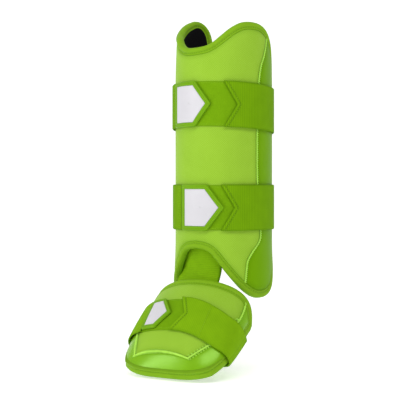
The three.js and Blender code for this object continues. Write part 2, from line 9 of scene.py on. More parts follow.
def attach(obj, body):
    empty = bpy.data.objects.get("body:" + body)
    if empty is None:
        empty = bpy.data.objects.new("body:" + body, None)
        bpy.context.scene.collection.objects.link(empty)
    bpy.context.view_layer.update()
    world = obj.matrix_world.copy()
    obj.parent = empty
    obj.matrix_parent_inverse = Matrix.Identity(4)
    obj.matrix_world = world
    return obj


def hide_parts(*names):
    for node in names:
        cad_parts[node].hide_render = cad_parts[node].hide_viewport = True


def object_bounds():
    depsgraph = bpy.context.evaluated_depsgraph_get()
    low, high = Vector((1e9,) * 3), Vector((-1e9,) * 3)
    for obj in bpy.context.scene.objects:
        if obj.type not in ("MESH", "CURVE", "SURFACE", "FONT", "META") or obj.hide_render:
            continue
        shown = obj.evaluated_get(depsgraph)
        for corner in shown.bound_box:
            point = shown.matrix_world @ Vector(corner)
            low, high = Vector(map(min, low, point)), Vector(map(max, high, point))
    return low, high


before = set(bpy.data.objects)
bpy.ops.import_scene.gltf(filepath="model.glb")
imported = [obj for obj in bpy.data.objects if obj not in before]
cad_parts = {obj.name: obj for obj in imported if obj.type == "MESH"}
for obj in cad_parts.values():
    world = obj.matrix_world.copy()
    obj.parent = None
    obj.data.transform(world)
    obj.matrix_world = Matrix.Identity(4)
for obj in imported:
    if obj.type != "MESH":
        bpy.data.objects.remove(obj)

cad_low, cad_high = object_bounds()

# Front of the shin shell: a stiff panel bent round the shin, foam under light green woven fabric, cut
# in an arch over the instep. The cover is sewn down at its edges and held in by the two elastics, and
# it swells a little between them.
MM = 0.001
SHIN_RADIUS = 57.5
KNEE_TAPER = 1.7
ANKLE_FLARE = 1.6
PANEL_THICK = 5.5
LINING_THICK = 2.0
LINING_GAP = 0.5
SHELL_THICK = PANEL_THICK + LINING_GAP + LINING_THICK
BACK_EDGE = 121.5
KNEE_DIP = 118.0
RIGHT_RISE = 30.0
LEFT_RISE = 42.5
ARCH_TOP = -98.0
WING_DROP = 58.0
BINDING_WIDTH = 8.5
GAP = 0.3
STRAP_WIDTH = 53.0
UPPER_STRAP_MIDDLE = 57.25
LOWER_STRAP_MIDDLE = -59.0
OUTLINE = {
    "along": (0.00, 0.12, 0.21, 0.30, 0.40, 0.50, 0.60, 0.70, 0.79, 0.86, 0.92, 0.97, 1.00),
    "right": (0.00, 0.06, 0.21, 0.47, 0.77, 0.96, 1.00, 0.95, 0.80, 0.58, 0.30, -0.08, -0.50),
    "left": (0.00, 0.01, 0.08, 0.21, 0.39, 0.52, 0.68, 0.84, 0.95, 1.00, 0.95, 0.78, 0.48),
    "down": (0.00, 0.04, 0.14, 0.36, 0.61, 0.83, 0.97, 1.00, 0.96, 0.87, 0.71, 0.48, 0.18),
}
SEAM = {
    "height": (1.15, 1.02, 0.93, 0.80, 0.58, 0.30, 0.05, 0.00, -0.06, -0.10, -0.13, -0.24),
    "across": (0.86, 0.77, 0.69, 0.655, 0.64, 0.645, 0.69, 0.675, 0.58, 0.53, 0.515, 0.49),
}


def look_up(table, key, column, place):
    """Smooth value of a table's column at places in another column, held level past both ends."""
    keys = np.array(table[key])
    values = np.array(table[column])
    if keys[0] > keys[-1]:
        keys, values = keys[::-1], values[::-1]
    slopes = np.empty_like(values)
    slopes[1:-1] = (values[2:] - values[:-2]) / (keys[2:] - keys[:-2])
    slopes[[0, -1]] = (values[[1, -1]] - values[[0, -2]]) / (keys[[1, -1]] - keys[[0, -2]])
    at = np.clip(place, keys[0], keys[-1])
    i = np.clip(np.searchsorted(keys, at, side="right") - 1, 0, len(keys) - 2)
    span = keys[i + 1] - keys[i]
    t = (at - keys[i]) / span
    tangents = t * (t - 1) * span * ((t - 1) * slopes[i] + t * slopes[i + 1])
    return values[i] + (values[i + 1] - values[i]) * t * t * (3 - 2 * t) + tangents


def ramp(start, end, value):
    """Share of the way from start to end, eased at both."""
    t = np.clip((value - start) / (end - start), 0, 1)
    return t * t * (3 - 2 * t)


def on_shin(angle, height, depth):
    """Places on the shell in mm, by degrees from the front, height, and depth under its outer face."""
    above = ramp(0.75 * KNEE_DIP, KNEE_DIP + LEFT_RISE, height)
    below = ramp(-ARCH_TOP, WING_DROP - ARCH_TOP, -height)
    radius = SHIN_RADIUS - KNEE_TAPER * above + ANKLE_FLARE * below - depth
    turn = np.radians(angle)
    return np.stack([radius * np.sin(turn), -radius * np.cos(turn), height + 0 * turn], axis=-1)


def top_edge(angle):
    along = np.abs(angle) / BACK_EDGE
    right = RIGHT_RISE * look_up(OUTLINE, "along", "right", along)
    left = LEFT_RISE * look_up(OUTLINE, "along", "left", along)
    return KNEE_DIP + np.where(angle > 0, right, left)


def bottom_edge(angle):
    return ARCH_TOP - WING_DROP * look_up(OUTLINE, "along", "down", np.abs(angle) / BACK_EDGE)


def seam_angle(height):
    share = (height - ARCH_TOP) / (KNEE_DIP - ARCH_TOP)
    return BACK_EDGE * look_up(SEAM, "height", "across", share)


def front_place(u, v):
    """Angle and height a share u of the way between the front panel's seams and v of the way up."""
    height = ARCH_TOP + (KNEE_DIP - ARCH_TOP) * v + 0 * u
    for _ in range(60):
        angle = (2 * u - 1) * seam_angle(height)
        edge_height = bottom_edge(angle) + (top_edge(angle) - bottom_edge(angle)) * v
        height = height + 0.4 * (edge_height - height)
    return angle, height


def edge_steps(count):
    """Shares from 0 to 1 that lie closer together at both ends."""
    even = np.linspace(0, 1, count + 1)
    return 0.45 * even + 0.55 * (0.5 - 0.5 * np.cos(np.pi * even))


def fall_away(distance, fall):
    """How far a padded cover rounds down toward a sewn edge."""
    t = np.clip(distance / COVER_TURN, 0, 1)
    return fall * (1 - np.sqrt(1 - (1 - t) ** 2))


def steps_from_edge(points):
    """Distance in mm of each point of a grid from the grid's nearest edge, along its own lines."""
    def run(axis):
        gaps = np.linalg.norm(np.diff(points, axis=axis), axis=-1)
        length = np.concatenate([np.zeros_like(np.take(gaps, [0], axis)), np.cumsum(gaps, axis)], axis)
        return np.minimum(length, np.take(length, [-1], axis) - length)
    return np.minimum(run(0), run(1))


def mesh_piece(name, points, faces, uvs, edge=None):
    """A mesh object from points in mm, with a UV place in mm and an edge share for every point."""
    mesh = bpy.data.meshes.new(name)
    mesh.from_pydata((np.asarray(points) * MM).tolist(), [], faces)
    corners = np.zeros(len(mesh.loops), np.int32)
    mesh.loops.foreach_get("vertex_index", corners)
    uv_map = mesh.uv_layers.new(name="UVMap")
    uv_map.data.foreach_set("uv", np.asarray(uvs, np.float32)[corners].ravel())
    share = mesh.attributes.new("edge", "FLOAT", "POINT")
    share.data.foreach_set("value", np.zeros(len(points), np.float32) if edge is None
                           else np.asarray(edge, np.float32))
    mesh.shade_smooth()
    piece = bpy.data.objects.new(name, mesh)
    bpy.context.scene.collection.objects.link(piece)
    return piece


def closed_wall(name, outer, inner, places):
    """A closed wall between an outer and an inner grid. places are the outer grid's UV places in mm."""
    columns, rows = outer.shape[0] - 1, outer.shape[1] - 1
    index = np.arange(outer.shape[0] * outer.shape[1]).reshape(outer.shape[:2])
    back = index + index.size

    def quads(grid):
        return np.stack([grid[:-1, :-1], grid[1:, :-1], grid[1:, 1:], grid[:-1, 1:]], -1).reshape(-1, 4)

    def rim(front_line, back_line):
        return np.stack([front_line[:-1], front_line[1:], back_line[1:], back_line[:-1]], -1)
    faces = np.concatenate([
        quads(index), quads(back)[:, ::-1],
        rim(back[:, 0], index[:, 0]), rim(index[:, rows], back[:, rows]),
        rim(index[0], back[0]), rim(back[columns], index[columns]),
    ])
    # The edge share, 1 at the edge and 0 from 9 mm in, is the mask for painted shade where a cover turns down
    # into its seam.
    near = 1 - ramp(0, 9, steps_from_edge(outer))
    points = np.concatenate([outer.reshape(-1, 3), inner.reshape(-1, 3)])
    uvs = np.concatenate([places.reshape(-1, 2)] * 2)
    return mesh_piece(name, points, faces.tolist(), uvs, np.concatenate([near.ravel()] * 2))


def swell(piece, held, pressure, cap):
    """Inflates a padded piece by a cloth simulation. held is 1 where a point can't move; cap is in mm."""
    group = piece.vertex_groups.new(name="held")
    for level in range(11):
        chosen = np.flatnonzero(np.round(held * 10) == level).tolist()
        group.add(chosen, level / 10, "REPLACE")
    start = np.array([v.co for v in piece.data.vertices])
    cloth = piece.modifiers.new("Cloth", "CLOTH")
    cloth.settings.quality = 4
    cloth.settings.mass = 0.3
    cloth.settings.tension_stiffness = 12
    cloth.settings.compression_stiffness = 12
    cloth.settings.shear_stiffness = 5
    cloth.settings.bending_stiffness = 0.6
    cloth.settings.use_pressure = True
    cloth.settings.uniform_pressure_force = pressure
    cloth.settings.vertex_group_mass = "held"
    cloth.settings.effector_weights.gravity = 0
    cloth.collision_settings.use_collision = False
    for step in range(1, 21):
        bpy.context.scene.frame_set(step)
    evaluated = piece.evaluated_get(bpy.context.evaluated_depsgraph_get())
    moved = np.array([v.co for v in evaluated.data.vertices]) - start
    piece.modifiers.remove(cloth)
    bpy.context.scene.frame_set(1)
    length = np.linalg.norm(moved, axis=1, keepdims=True)
    capped = moved * np.minimum(1, cap * MM / np.maximum(length, 1e-9))
    piece.data.vertices.foreach_set("co", (start + capped).astype(np.float32).ravel())
    piece.data.update()
    piece.vertex_groups.clear()


def smooth_out(piece):
    """Adds a subdivision to a finished mesh and keeps the result as a plain mesh."""
    finer = piece.modifiers.new("Subdivision", "SUBSURF")
    finer.levels = finer.render_levels = 1
    evaluated = piece.evaluated_get(bpy.context.evaluated_depsgraph_get())
    plain = bpy.data.meshes.new_from_object(evaluated)
    piece.modifiers.remove(finer)
    piece.data = plain


def padded_cover(name, outer, inner, places, free, pressure, cap):
    """A cover over foam, sewn down at its edges. free is 1 where it swells most."""
    cover = closed_wall(name, outer, inner, places)
    swell(cover, np.concatenate([(1 - LOOSENESS * free).ravel(), np.ones(free.size)]), pressure, cap)
    smooth_out(cover)
    return cover


class Wire:
    """A shader socket that Python sums work on."""

    def __init__(self, finish, socket):
        self.finish = finish
        self.socket = socket

    def _sum(self, operation, first, second):
        return self.finish.node("ShaderNodeMath", {"operation": operation}, {0: first, 1: second})

    def __add__(self, other):
        return self._sum("ADD", self, other)

    def __sub__(self, other):
        return self._sum("SUBTRACT", self, other)

    def __mul__(self, other):
        return self._sum("MULTIPLY", self, other)

    __radd__ = __add__


class Finish:
    """One surface finish: a Principled material with constant sockets, and the nodes that vary it."""

    def __init__(self, name, **constants):
        self.material = bpy.data.materials.new(name)
        self.material.use_nodes = True
        self.tree = self.material.node_tree
        self.shader = self.tree.nodes["Principled BSDF"]
        for socket, value in constants.items():
            self.shader.inputs[socket.replace("_", " ")].default_value = value

    def node(self, kind, settings, sockets, output=0):
        """Adds a node and gives one of its outputs. A ramp's settings may hold its stops."""
        made = self.tree.nodes.new(kind)
        for setting, value in settings.items():
            setattr(made, setting, value)
        for socket, value in sockets.items():
            if isinstance(value, Wire):
                self.tree.links.new(value.socket, made.inputs[socket])
            else:
                made.inputs[socket].default_value = value
        return Wire(self, made.outputs[output])

    def feed(self, socket, wire):
        self.tree.links.new(wire.socket, self.shader.inputs[socket])

    def mix(self, share, first, second):
        return self.node("ShaderNodeMix", {"data_type": "RGBA"}, {0: share, 6: first, 7: second}, 2)

    def noise(self, scale, detail):
        """Object-space noise from 0 to 1 with that many spots a metre."""
        place = self.node("ShaderNodeTexCoord", {}, {}, "Object")
        return self.node("ShaderNodeTexNoise", {}, {"Vector": place, "Scale": scale, "Detail": detail})

    def uv(self, axis):
        """The piece's own UV place in mm, along (0) or across (1)."""
        place = self.node("ShaderNodeUVMap", {"uv_map": "UVMap"}, {})
        return self.node("ShaderNodeSeparateXYZ", {}, {0: place}, axis)

    def ribs(self, wire, pitch):
        """A round wave from 0 to 1, one crest each pitch mm."""
        turn = wire * (2 * math.pi / pitch)
        return self.node("ShaderNodeMath", {"operation": "SINE"}, {0: turn}) * 0.5 + 0.5

    # The edge share, which the finishes use as a mask for painted shade near edges and grooves.
    def edge(self):
        return self.node("ShaderNodeAttribute", {"attribute_name": "edge"}, {}, "Fac")

    def bump(self, height, strength, distance_mm):
        self.feed("Normal", self.node("ShaderNodeBump", {}, {
            "Height": height, "Strength": strength, "Distance": distance_mm * MM}))


def dye(red, green, blue):
    """A colour named in 0 to 255 as on a colour card, made linear for a shader."""
    def linear(value):
        share = value / 255
        return share / 12.92 if share <= 0.04045 else ((share + 0.055) / 1.055) ** 2.4
    return (linear(red), linear(green), linear(blue), 1.0)


def woven_cover():
    """Fine plain weave in light green, a little mottled, with light flecks on the threads that are partly the
    yarn's own tone and partly painted glints, and painted shade where it turns down at a seam.
    """
    cover = Finish("light_green_weave", Specular_IOR_Level=0.16, Specular_Tint=(0.7, 1.0, 0.4, 1.0))
    threads = cover.ribs(cover.uv(0) + cover.uv(1), 2.1) * cover.ribs(cover.uv(0) - cover.uv(1), 2.1)
    mottle = cover.noise(45, 4.0)
    speckle = cover.noise(900, 2.0)
    base = cover.mix(mottle, dye(132, 178, 30), dye(146, 191, 44))
    # Light flecks on the thread crests: partly the yarn's own lighter tone, partly painted glints.
    glint_flecked = cover.mix(threads * (0.25 + speckle * 0.5), base, dye(196, 232, 108))
    # Darker within 9 mm of the edge: painted shade where the cover turns down into its seam.
    cover.feed("Base Color", cover.mix(cover.edge() * 0.3, glint_flecked, dye(104, 152, 18)))
    cover.feed("Roughness", 0.44 + mottle * 0.14)
    cover.bump(threads + speckle * 0.4, 0.4, 0.2)
    return cover.material


def held_by_straps(height):
    """1 where an elastic lies on the panel, 0 well clear of both."""
    away = np.minimum(np.abs(height - UPPER_STRAP_MIDDLE), np.abs(height - LOWER_STRAP_MIDDLE))
    return 1 - ramp(STRAP_WIDTH / 2, STRAP_WIDTH / 2 + 5.0, away)


def finished(piece, material, slot, *nodes):
    """Gives a finished mesh its material, hangs it on the root body and hides the CAD nodes that it stands
    for.
    """
    piece.data.materials.clear()
    piece.data.materials.append(material)
    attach(piece, "root")
    if nodes:
        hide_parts(*nodes)


SEAM_HALF_GAP = 0.6
COVER_FALL = 1.5
COVER_TURN = 4.5
LOOSENESS = 0.96
weave = woven_cover()
u, v = np.meshgrid(edge_steps(84), edge_steps(110), indexing="ij")
angle, height = front_place(u, v)
away = steps_from_edge(on_shin(angle, height, 0.0))
outer = on_shin(angle, height, fall_away(away, COVER_FALL))
inner = on_shin(angle, height, PANEL_THICK)
places = np.stack([np.radians(angle) * SHIN_RADIUS, height], -1)
free = ramp(1.0, 14.0, away) * (1 - held_by_straps(height))
front_panel = padded_cover("front_cover", outer, inner, places, free, 2.4, 1.7)
finished(front_panel, weave, "fabric", "shin_front_panel")

# Sides of the shin shell: two darker panels of smooth coated fabric over the same foam, from the seam
# to the back edge. They are sewn to the front panel and swell less.
def coated_cover():
    """Smooth coated fabric with a very fine grain, and painted shade near its sewn edges."""
    cover = Finish("green_coated_fabric", Specular_IOR_Level=0.08, Specular_Tint=(0.6, 1.0, 0.3, 1.0))
    grain = cover.node("ShaderNodeTexVoronoi", {"feature": "DISTANCE_TO_EDGE"}, {
        "Vector": cover.node("ShaderNodeTexCoord", {}, {}, "Object"), "Scale": 1100.0})
    mottle = cover.noise(30, 3.0)
    base = cover.mix(mottle, dye(106, 157, 2), dye(118, 169, 8))
    # Darker near the edge: painted shade where the cover turns down into its seam.
    cover.feed("Base Color", cover.mix(cover.edge() * 0.35, base, dye(84, 130, 0)))
    cover.feed("Roughness", 0.40 + mottle * 0.14)
    cover.bump(grain * 0.8 + mottle * 0.2, 0.25, 0.08)
    return cover.material


coated = coated_cover()
for side, name in ((1, "right"), (-1, "left")):
    u, v = np.meshgrid(edge_steps(34), edge_steps(110), indexing="ij")
    from_seam = u if side > 0 else 1 - u
    seam = front_place(np.full_like(v, 1.0 if side > 0 else 0.0), v)[0]
    seam = seam + side * np.degrees(SEAM_HALF_GAP / SHIN_RADIUS)
    angle = seam + (side * BACK_EDGE - seam) * from_seam
    height = bottom_edge(angle) + (top_edge(angle) - bottom_edge(angle)) * v
    away = steps_from_edge(on_shin(angle, height, 0.0))
    outer = on_shin(angle, height, fall_away(away, COVER_FALL))
    places = np.stack([np.radians(angle) * SHIN_RADIUS, height], -1)
    inner = on_shin(angle, height, PANEL_THICK)
    free = ramp(1.0, 12.0, away) * (1 - held_by_straps(height))
    panel = padded_cover(f"side_cover_{name}", outer, inner, places, free, 2.0, 1.2)
    finished(panel, coated, "coated", f"shin_side_panel_{name}")

# Bright lime seams between the front and the side panels: a corded seam with a zigzag cover stitch that
# stands a little out of the groove where the covers meet.
ZIGZAG_PITCH = 2.6
ZIGZAG_THREAD = 0.3
CORD_LIFT = 0.15


def tube(name, path, radius, sides):
    """A round tube along a path in mm, with flat ends."""
    ahead = np.gradient(path, axis=0)
    ahead /= np.linalg.norm(ahead, axis=1, keepdims=True)
    side = np.cross(ahead[0], (0.3, 0.2, 0.9))
    frames = []
    for tangent in ahead:
        side = side - tangent * side.dot(tangent)
        side /= np.linalg.norm(side)
        frames.append((side, np.cross(tangent, side)))
    turns = np.arange(sides) * 2 * math.pi / sides
    rings = np.array([
        [place + radius * (math.cos(t) * right + math.sin(t) * up) for t in turns]
        for place, (right, up) in zip(path, frames)])
    length = np.concatenate([[0], np.cumsum(np.linalg.norm(np.diff(path, axis=0), axis=1))])
    uvs = np.stack(np.broadcast_arrays(length[:, None], turns[None] * radius), -1)
    return ring_mesh(name, rings, uvs, False)


def ring_mesh(name, rings, uvs, closed, edge=None):
    """A mesh round rings of points: closed on itself, or with a strip across each end."""
    count, sides = rings.shape[:2]
    index = np.arange(count * sides).reshape(count, sides)
    after = np.roll(index, -1, 0) if closed else index[1:]
    here = index if closed else index[:-1]
    faces = np.stack([here, np.roll(here, -1, 1), np.roll(after, -1, 1), after], -1).reshape(-1, 4).tolist()
    if not closed:
        for end in (index[0][::-1].tolist(), index[-1].tolist()):
            for k in range((sides - 1) // 2):
                face = [end[k], end[k + 1], end[sides - 2 - k], end[sides - 1 - k]]
                faces.append(face if k + 1 < sides - 2 - k else face[:3])
    return mesh_piece(name, rings.reshape(-1, 3), faces, uvs.reshape(-1, 2),
                      None if edge is None else edge.ravel())


def joined(name, pieces):
    """Several pieces as one mesh."""
    whole = bmesh.new()
    for piece in pieces:
        whole.from_mesh(piece.data)
    mesh = bpy.data.meshes.new(name)
    whole.to_mesh(mesh)
    whole.free()
    mesh.shade_smooth()
    for piece in pieces:
        bpy.data.objects.remove(piece)
    result = bpy.data.objects.new(name, mesh)
    bpy.context.scene.collection.objects.link(result)
    return result


def outward(piece):
    """Turns a closed mesh's faces to point out of it."""
    whole = bmesh.new()
    whole.from_mesh(piece.data)
    bmesh.ops.recalc_face_normals(whole, faces=whole.faces)
    whole.to_mesh(piece.data)
    whole.free()
    return piece


def lime_seam(name, place_at, length, cord_radius, zigzag_half):
    """A cord with a zigzag stitch over it. place_at(share, aside in mm, lift in mm) gives points in mm."""
    share = np.linspace(0, 1, int(length / 1.5))
    cord = outward(tube(f"{name}_cord", place_at(share, 0.0, CORD_LIFT), cord_radius, 8))
    count = int(2 * length / ZIGZAG_PITCH)
    share = np.linspace(0, 1, count * 3 + 1)
    beat = np.arange(count * 3 + 1) % 6
    aside = np.array([0, 1, 1, 0, -1, -1])[beat] * zigzag_half
    lift = np.array([0.95, 0.35, 0.35, 0.95, 0.35, 0.35])[beat] * cord_radius
    path = place_at(share, aside, CORD_LIFT + lift)
    thread = outward(tube(f"{name}_zigzag", path, ZIGZAG_THREAD, 6))
    return joined(name, [cord, thread])


def lime_thread():
    """Shiny bright lime thread with its twist."""
    thread = Finish("lime_thread", Specular_IOR_Level=0.3)
    twist = thread.ribs(thread.uv(0) + thread.uv(1) * 1.2, 0.8)
    shade = thread.noise(260, 2.0)
    thread.feed("Base Color", thread.mix(shade, dye(160, 222, 56), dye(196, 248, 96)))
    thread.feed("Roughness", 0.34 + shade * 0.2)
    thread.bump(twist, 0.4, 0.15)
    return thread.material


lime = lime_thread()
for side, name in ((1, "right"), (-1, "left")):
    def on_seam(share, aside, lift):
        end = 1.0 if side > 0 else 0.0
        angle, height = front_place(np.full_like(share, end), share)
        angle = angle + side * np.degrees((SEAM_HALF_GAP / 2 + aside) / SHIN_RADIUS)
        return on_shin(angle, height, 0.55 - lift)
    finished(lime_seam(f"lime_seam_{name}", on_seam, 300, 0.85, 1.5), lime, "fabric")

# Lining: black knitted fabric on the shell's inside, seen in the top opening and from behind.
def knitted_lining():
    """Black knit: rows of small loops, slightly napped."""
    knit = Finish("black_knit", Roughness=0.95, Specular_IOR_Level=0.08)
    loops = knit.ribs(knit.uv(0), 1.5) * knit.ribs(knit.uv(1), 1.1)
    nap = knit.noise(420, 3.0)
    knit.feed("Base Color", knit.mix(loops * 0.6 + nap * 0.3, dye(5, 5, 6), dye(27, 27, 29)))
    knit.bump(loops + nap * 0.3, 0.5, 0.3)
    return knit.material


black_knit = knitted_lining()
side = 2 * np.linspace(0, 1, 121) - 1
angles = BACK_EDGE * np.sign(side) * (1 - (1 - np.abs(side)) ** 1.35)
angle, v = np.meshgrid(angles, edge_steps(70), indexing="ij")
height = bottom_edge(angle) + (top_edge(angle) - bottom_edge(angle)) * v
near = PANEL_THICK + LINING_GAP
puff = 0.25 * np.sin(np.radians(angle) * 6) * ramp(0, 20, steps_from_edge(on_shin(angle, height, near)))
places = np.stack([np.radians(angle) * SHIN_RADIUS, height], -1)
inside = on_shin(angle, height, SHELL_THICK + puff - 0.25)
lining = closed_wall("black_lining", on_shin(angle, height, near), inside, places)
finished(lining, black_knit, "lining", "shin_lining")

# Edge binding of the shell: one woven tape folded round the cut edge, sewn through near its inner side,
# so that it is pinched at the stitches and stands out as a soft roll beyond them.
BINDING_SECTION = {
    "out": (0.00, 0.06, 0.14, 0.23, 0.31, 0.41, 0.60, 0.82, 0.95, 1.00),
    "lift": (0.42, 0.74, 0.80, 0.77, 0.66, 0.84, 1.00, 0.86, 0.50, 0.00),
}
BINDING_PROUD = 0.6
TAPE_START = -1.0
SEWN_GROOVE = 0.31
STITCH_HEIGHT = 0.67
STITCHES = {"binding": (3.4, 2.4, 0.6), "loop": (3.0, 2.1, 0.45), "elastic": (2.8, 2.0, 0.5)}


def off_edge(places, faces):
    """The way off a panel's closed edge, square to the edge and to the panel's face."""
    along = np.roll(places, -1, 0) - np.roll(places, 1, 0)
    along /= np.linalg.norm(along, axis=1, keepdims=True)
    off = np.cross(along, faces)
    return off / np.linalg.norm(off, axis=1, keepdims=True)


def rolled_tape(name, places, faces, off, half, first):
    """The folded tape round a closed edge, half thick on each side of the wall's middle."""
    reach = BINDING_WIDTH - first
    share = np.linspace(0, 1, 21) ** 0.9
    lift = look_up(BINDING_SECTION, "out", "lift", share)
    lift[-1] = 0.0
    share = np.concatenate([share, share[-2::-1]])
    lift = np.concatenate([lift, -lift[-2::-1]])
    out = first + reach * share
    rings = places[:, None] + off[:, None] * out[None, :, None]
    rings = rings + faces[:, None] * (lift * half)[None, :, None]
    length = np.concatenate([[0], np.cumsum(np.linalg.norm(np.diff(places, axis=0), axis=1))])
    around = np.arange(len(out)) * 1.1
    uvs = np.stack(np.broadcast_arrays(length[:, None], around[None]), -1)
    # Painted shade mask: 1 in the sewn groove and at the tape's inner side, where it meets the cover.
    painted_shade = 1 - ramp(0.02, 0.08, np.abs(share - SEWN_GROOVE)) * ramp(0.05, 0.16, share)
    return outward(ring_mesh(name, rings, uvs, True, np.broadcast_to(painted_shade, rings.shape[:2])))


def woven_tape():
    """Narrow woven tape: fine ribs across it, with painted shade in the sewn groove and along its inner side.
    """
    tape = Finish("green_binding_tape", Specular_IOR_Level=0.1)
    cross = tape.ribs(tape.uv(0), 1.0)
    mottle = tape.noise(60, 3.0)
    base = tape.mix(mottle, dye(118, 164, 16), dye(134, 180, 30))
    # Darker by the mask: painted shade in the sewn groove and at the tape's inner side.
    tape.feed("Base Color", tape.mix(tape.edge() * 0.35, base, dye(72, 118, 2)))
    tape.feed("Roughness", 0.5 + mottle * 0.16)
    tape.bump(cross + mottle * 0.4, 0.3, 0.12)
    return tape.material


def stitch_rows():
    """Geometry Nodes: one stitch every Pitch along the piece's lines, each Length long and Thread thick."""
    tree = bpy.data.node_groups.new("stitch_rows", "GeometryNodeTree")
    tree.interface.new_socket("Geometry", in_out="INPUT", socket_type="NodeSocketGeometry")
    for socket in ("Pitch", "Length", "Thread"):
        tree.interface.new_socket(socket, in_out="INPUT", socket_type="NodeSocketFloat")
    tree.interface.new_socket("Material", in_out="INPUT", socket_type="NodeSocketMaterial")
    tree.interface.new_socket("Geometry", in_out="OUTPUT", socket_type="NodeSocketGeometry")
    given = tree.nodes.new("NodeGroupInput")
    result = tree.nodes.new("NodeGroupOutput")
    line = tree.nodes.new("GeometryNodeMeshToCurve")
    marks = tree.nodes.new("GeometryNodeCurveToPoints")
    marks.mode = "LENGTH"
    bead = tree.nodes.new("GeometryNodeMeshUVSphere")
    bead.inputs["Segments"].default_value = 6
    bead.inputs["Rings"].default_value = 5
    bead.inputs["Radius"].default_value = 0.5
    size = tree.nodes.new("ShaderNodeCombineXYZ")
    shaped = tree.nodes.new("GeometryNodeTransform")
    copies = tree.nodes.new("GeometryNodeInstanceOnPoints")
    real = tree.nodes.new("GeometryNodeRealizeInstances")
    smooth = tree.nodes.new("GeometryNodeSetShadeSmooth")
    painted = tree.nodes.new("GeometryNodeSetMaterial")
    for start, end in (
            (given.outputs["Geometry"], line.inputs["Mesh"]),
            (line.outputs["Curve"], marks.inputs["Curve"]),
            (given.outputs["Pitch"], marks.inputs["Length"]),
            (given.outputs["Thread"], size.inputs["X"]),
            (given.outputs["Thread"], size.inputs["Y"]),
            (given.outputs["Length"], size.inputs["Z"]),
            (bead.outputs["Mesh"], shaped.inputs["Geometry"]),
            (size.outputs["Vector"], shaped.inputs["Scale"]),
            (marks.outputs["Points"], copies.inputs["Points"]),
            (marks.outputs["Rotation"], copies.inputs["Rotation"]),
            (shaped.outputs["Geometry"], copies.inputs["Instance"]),
            (copies.outputs["Instances"], real.inputs["Geometry"]),
            (real.outputs["Geometry"], smooth.inputs["Geometry"]),
            (smooth.outputs["Geometry"], painted.inputs["Geometry"]),
            (given.outputs["Material"], painted.inputs["Material"]),
            (painted.outputs["Geometry"], result.inputs["Geometry"])):
        tree.links.new(start, end)
    return tree


sewing = stitch_rows()


def sew(name, runs, slot):
    """Rows of stitches along runs of points in mm, as one plain mesh that rides with the guard."""
    pitch, length, thread = STITCHES[slot]
    points = []
    edges = []
    for run in runs:
        start = len(points)
        points += (np.asarray(run) * MM).tolist()
        edges += [(start + i, start + i + 1) for i in range(len(run) - 1)]
    lines = bpy.data.meshes.new(f"{name}_lines")
    lines.from_pydata(points, edges, [])
    guide = bpy.data.objects.new(f"{name}_guide", lines)
    bpy.context.scene.collection.objects.link(guide)
    rows = guide.modifiers.new("Stitches", "NODES")
    rows.node_group = sewing
    inputs = {item.name: item.identifier for item in sewing.interface.items_tree if item.in_out == "INPUT"}
    rows[inputs["Pitch"]] = pitch * MM
    rows[inputs["Length"]] = length * MM
    rows[inputs["Thread"]] = thread * MM
    rows[inputs["Material"]] = green
    evaluated = guide.evaluated_get(bpy.context.evaluated_depsgraph_get())
    mesh = bpy.data.meshes.new_from_object(evaluated)
    bpy.data.objects.remove(guide)
    piece = bpy.data.objects.new(name, mesh)
    bpy.context.scene.collection.objects.link(piece)
    finished(piece, green, slot)


def green_thread():
    thread = Finish("green_thread", Roughness=0.5, Specular_IOR_Level=0.2)
    shade = thread.noise(300, 2.0)
    thread.feed("Base Color", thread.mix(shade, dye(116, 164, 16), dye(150, 198, 40)))
    thread.bump(shade, 0.3, 0.1)
    return thread.material


def bind_edge(name, node, places, faces, off, half, first):
    """The tape round a closed edge, and its stitches in the groove on both faces."""
    finished(rolled_tape(f"{name}_tape", places, faces, off, half, first), tape, "binding", node)
    ring = places + off * (first + (BINDING_WIDTH - first) * SEWN_GROOVE)
    rows = [ring + faces * (side * half * STITCH_HEIGHT) for side in (1, -1)]
    sew(f"{name}_stitches", [np.concatenate([row, row[:1]]) for row in rows], "binding")


def shin_edge(steps, side_steps):
    """Angles and heights round the shell's whole edge, counter-clockwise as seen from outside."""
    share = 2 * np.arange(steps) / steps - 1
    angles = BACK_EDGE * np.sign(share) * (1 - (1 - np.abs(share)) ** 1.35)
    up = np.arange(side_steps) / side_steps
    right = bottom_edge(BACK_EDGE) + (top_edge(np.array(BACK_EDGE)) - bottom_edge(BACK_EDGE)) * up
    left = top_edge(np.array(-BACK_EDGE)) + (bottom_edge(-BACK_EDGE) - top_edge(np.array(-BACK_EDGE))) * up
    angle = np.concatenate([angles, np.full(side_steps, BACK_EDGE), -angles, np.full(side_steps, -BACK_EDGE)])
    height = np.concatenate([bottom_edge(angles), right, top_edge(-angles), left])
    return angle, height


tape = woven_tape()
green = green_thread()
angle, height = shin_edge(150, 46)
places = on_shin(angle, height, SHELL_THICK / 2)
faces = on_shin(angle, height, 0.0) - places
faces /= np.linalg.norm(faces, axis=1, keepdims=True)
bind_edge("shin_edge", "shin_binding", places, faces, off_edge(places, faces),
          SHELL_THICK / 2 + BINDING_PROUD, TAPE_START)

# Loop patches on the shin: brushed green loop fabric sewn flat on the front, for the tabs to grip.
MM_PER_DEGREE = math.radians(1) * SHIN_RADIUS
LANDING_THICK = 1.2
PATCH_PAST_TAB = 8.0
PATCH_PAST_NOTCH = 12.0
SHIN_STRAPS = {
    "upper": {"middle": UPPER_STRAP_MIDDLE, "lift": 3.5, "tab": -31.5, "notch": 50.0},
    "lower": {"middle": LOWER_STRAP_MIDDLE, "lift": 0.0, "tab": -17.0, "notch": 47.0},
}


